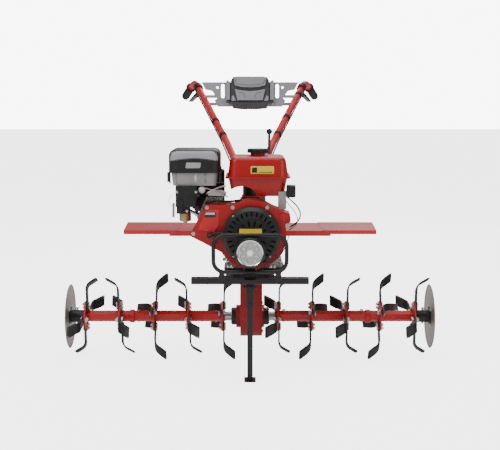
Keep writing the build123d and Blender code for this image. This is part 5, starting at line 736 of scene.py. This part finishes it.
for word, side in (("Left", -1), ("Right", 1)):
    facet = [(side * x, z) for x, z in ((82, 988), (61, 988), (73, 1014), (83, 1008))][::side]
    frontPlate(f"consoleFacet{word}", facet, console["body"], 6, "handlebar", "console_silver", 1.5)
    pod = [(x * mm, z * mm) for x, z in ((-9, -46), (9, -46), (9, 44), (2, 46), (-9, 38))]
    pod = [(side * x, z) for x, z in pod][::side]
    prism(f"consolePod{word}", pod, at(side * 98, console["back"], 1036), front, "handlebar", "console_silver", 0.024, 0.003, bevel=1.0)
    prism(f"consolePodFoot{word}", roundedOutline(0.020, 0.012, 0.003), at(side * 96, console["back"], 985), front, "handlebar", "consoleShade", 0.020, 0.002)
    groove = [at(side * x, 698.6, z) for x, z in ((67, 1090), (62, 1068), (52, 1061), (0, 1059))]
    tube(f"consoleHoodLine{word}", groove, 1.8, "handlebar", "consoleShade")
    arc = [at(side * x, 703.4, z) for x, z in ((50, 1025), (34, 1026), (26, 1020), (22, 1005))]
    tube(f"consoleArc{word}", arc, 1.6, "handlebar", "consoleShade")
plateScrews = [(at(side * 98, 740, 974), front) for side in (-1, 1)]
boltHeads("consoleScrews", plateScrews, "handlebar", 5, 3.5, "zinc_bolt", addSlotHead)
print("console made")

# ---------------------------------------------------------------- air cleaner and carburettor
lidLow, lidHigh = (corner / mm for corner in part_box("air_cleaner_lid"))
decal("cleanerLabel", "air_cleaner_lid", "chassis", "labelGrey", (-226, -174, 757, 777), skew=3.0)
# painted highlight: a narrow white vertical band down the bowl, standing for the reflection on its glossy face
decal("cleanerStreak", "air_cleaner_bowl", "chassis", "printAndHighlightWhite", (-196, -186, 706, 736), rows=2, columns=3)
for index, x in enumerate((-262, -160)):
    decal(f"cleanerRib{index}", "air_cleaner_bowl", "chassis", "bowl_grey", (x, x + 5, 704, 737), lift=1.4, rows=2, columns=2, radius=0.4)
# painted highlight: a lighter grey arched band over the lid's top, where light falls on it
lidHighlightBox = (lidLow.x + 10, lidHigh.x - 10, 781, lidHigh.z - 4)
decal("cleanerSheen", "air_cleaner_lid", "chassis", "lidPaintedHighlight", lidHighlightBox, columns=30, rows=8, arch=9.0)
for word, tabX, half in (("Left", lidLow.x + 4, 6), ("Right", lidHigh.x - 4, 4)):
    outline = [(tabX - half, 706), (tabX + half, 706), (tabX + half, 742), (tabX - half, 742)]
    frontPlate(f"cleanerTab{word}", outline, (lidLow.y - axle.y / mm) + 34, 14, "chassis", "black_plastic", 1.5)
lidTree = surfaceTree("air_cleaner_lid")
crease = []
for step in range(21):
    x = lidLow.x + 14 + (lidHigh.x - lidLow.x - 28) * step / 20
    z = 783 + 9 * sin(pi * step / 20)
    hit = lidTree.ray_cast(Vector((x * mm, (lidLow.y - 60) * mm, z * mm)), back)[0]
    if hit:
        crease.append(hit)
tube("cleanerCrease", crease, 2.2, "chassis", "black_plastic")
carbScrews = [(at(-221, -342, 607), front), (at(-256, -342, 674), front), (at(-189, -342, 674), front)]
boltHeads("carbScrews", carbScrews, "chassis", 5.5, 4, "zinc_bolt", addSlotHead)
lathe("chokeKnob", millimetres([(0, 0), (9, 0), (10, 1.5), (10, 7), (8.5, 9), (0, 9)]), at(-186, -338, 614), front, "chassis", "black_plastic", 30)
lathe("linkageDome", millimetres([(0, 0), (12, 0), (12, 4), (10, 9), (5, 12), (0, 12.6)]), at(-169, -330, 680), front, "chassis", "knobIvory", 36)
wireLoop = [at(-263, -344, 671), at(-280, -346, 660), at(-286, -346, 639), at(-277, -345, 625), at(-263, -342, 625)]
tube("wireLoop", wireLoop, 1.8, "chassis", "zinc_bolt")
tube("breatherPipe", [at(-269, -330, 634), at(-270, -330, 584)], 9, "chassis", "bowl_grey")
tube("linkageRod", [at(-162, -326, 687), at(-120, -322, 679), at(-78, -318, 654)], 4.4, "chassis", "zinc_bolt")
tube("linkageArm", [at(-155, -322, 665), at(-116, -322, 690), at(-85, -318, 693)], 5.5, "chassis", "zinc_bolt")
tube("fuelHose", [at(-159, -318, 633), at(-120, -322, 644), at(-71, -318, 636), at(-32, -300, 642)], 8, "chassis", "cable_rubber")
springTurns = []
for step in range(97):
    turn = 2 * pi * 12 * step / 96
    springTurns.append(at(-155 + 62 * step / 96, -320 + 3.2 * cos(turn),  651 + 3.2 * sin(turn)))
tube("governorSpring", springTurns, 1.2, "chassis", "bright_steel")
governorPlate = [(x * mm, z * mm) for x, z in ((-30, -9), (34, -12), (38, 4), (12, 12), (-24, 10))]
prism("governorPlate", governorPlate, at(-120, -306, 667), front, "chassis", "zinc_bolt", 0.003, 0.0006)
prism("coilBox", roundedOutline(0.034, 0.046, 0.006), at(145, -306, 674), front, "chassis", "black_plastic", 0.03, 0.003)
prism("coilBracket", roundedOutline(0.030, 0.066, 0.004), at(114, -300, 642), front, "chassis", "cast_alloy", 0.02, 0.002)
plugLead = [at(131, -318, 654), at(162, -330, 630), at(180, -330, 599), at(173, -322, 566), at(142, -300, 545)]
tube("plugLead", plugLead, 5, "chassis", "cable_rubber")
switchWire = [at(127, -322, 640), at(151, -345, 614), at(169, -340, 585), at(166, -330, 556), at(139, -300, 534)]
tube("switchWire", switchWire, 3, "chassis", "badgeBlack")
tube("wireTie", [switchWire[3] + Vector((-0.004, -0.003, 0.001)), switchWire[3] + Vector((0.006, -0.004, -0.004))], 3.4, "chassis", "tieYellow")
tube("lampWire", [at(41, -440, 441), at(86, -420, 438), at(122, -392, 476), at(136, -372, 522)], 3.4, "chassis", "cable_rubber")
print("engine details made")

# ---------------------------------------------------------------- grips
def gripRibs(work, centre, run, length, radius):
    """Grip sleeve with rounded rings along its length and a flange at its inner end."""
    profile = [(radius - 1, 0), (radius + 6, 0), (radius + 6, 3), (radius + 1, 5)]
    count = int((length - 14) / 7)
    for index in range(count):
        start = 7 + index * 7
        profile += [(radius + 0.4, start), (radius + 1.6, start + 1.6), (radius + 1.6, start + 4.6), (radius + 0.4, start + 6)]
    profile += [(radius + 1, length - 4), (radius - 1, length), (0, length), (0, length - 3), (radius - 2, length - 3), (radius - 1, 0)]
    addLathe(work, millimetres(profile), centre, run, 40)


gripMesh = nodes["grips"].data
for word, side in (("Left", -1), ("Right", 1)):
    corners = [v.co for v in gripMesh.vertices if v.co.x * side > 0]
    middle = sum(corners, Vector()) / len(corners)
    far = max(corners, key=lambda co: (co - middle).length)
    run = (far - middle).normalized()
    for attempt in range(20):
        signed = [(co - middle).dot(run) for co in corners]
        pull = sum(((co - middle) * reach for co, reach in zip(corners, signed)), Vector())
        run = pull.normalized()
    run = run if run.y > 0 else -run
    spread = [(co - middle).dot(run) for co in corners]
    start = middle + run * min(spread)
    sleeve = meshFrom(lambda work: gripRibs(work, start, run, (max(spread) - min(spread)) / mm, 17.5), f"grip{word}")
    keepPiece(sleeve, f"grip{word}", "handlebar", "grip_rubber")
print("grips made")


# ---------------------------------------------------------------- floor, light and camera
def makeStage():
    floorMesh = meshFrom(lambda work: addPrism(work, [(-30, -30), (30, -30), (30, 30), (-30, 30)], Vector((0, 0, -0.02)), Vector((1, 0, 0)), Vector((0, 1, 0)), Vector((0, 0, 1)), 0.0195), "floor")
    floor = bpy.data.objects.new("floor", floorMesh)
    bpy.context.scene.collection.objects.link(floor)
    paint = bpy.data.materials.new("floorPaint")
    paint.use_nodes = True
    shader = paint.node_tree.nodes["Principled BSDF"]
    shader.inputs["Base Color"].default_value = (0.86, 0.86, 0.86, 1)
    shader.inputs["Roughness"].default_value = 0.9
    shader.inputs["Specular IOR Level"].default_value = 0.0
    shader.inputs["Emission Color"].default_value = (1, 1, 1, 1)
    seen = paint.node_tree.nodes.new("ShaderNodeLightPath")
    glow = mathNode(paint.node_tree, "MULTIPLY_ADD", seen.outputs["Is Camera Ray"], 3.4)
    glow.node.inputs[2].default_value = 0.25
    paint.node_tree.links.new(glow, shader.inputs["Emission Strength"])
    floorMesh.materials.append(paint)
    world = bpy.data.worlds.new("studio")
    world.use_nodes = True
    sky = world.node_tree.nodes["Background"]
    sky.inputs["Color"].default_value = (1, 1, 1, 1)
    path = world.node_tree.nodes.new("ShaderNodeLightPath")
    strength = mathNode(world.node_tree, "MULTIPLY_ADD", path.outputs["Is Camera Ray"], 8.0)
    strength.node.inputs[2].default_value = 0.28
    world.node_tree.links.new(strength, sky.inputs["Strength"])
    bpy.context.scene.world = world
    lamps = {
        "keyLight": ((-2.6, -3.6, 3.4), 1.8, 85),
        "fillLight": ((3.0, -3.0, 2.2), 2.0, 30),
        "topLight": ((0.0, -0.4, 3.8), 2.8, 60),
        "backLight": ((0.6, 3.4, 2.8), 2.2, 45),
    }
    for name, (place, size, power) in lamps.items():
        light = bpy.data.lights.new(name, "AREA")
        light.size = size
        light.energy = power
        holder = bpy.data.objects.new(name, light)
        holder.location = place
        holder.rotation_euler = (Vector((0, 0, 0.5)) - Vector(place)).to_track_quat("-Z", "Y").to_euler()
        bpy.context.scene.collection.objects.link(holder)
    eye = {"distance": 4.0, "height": 1.0, "pitch": 6.9, "lens": 75.4}
    camera = bpy.data.cameras.new("camera")
    camera.lens = eye["lens"]
    camera.sensor_width = 36
    holder = bpy.data.objects.new("camera", camera)
    holder.location = (0, axle.y - eye["distance"], eye["height"])
    holder.rotation_euler = (radians(90 - eye["pitch"]), 0, 0)
    bpy.context.scene.collection.objects.link(holder)
    bpy.context.scene.camera = holder


makeStage()
print("stage made")
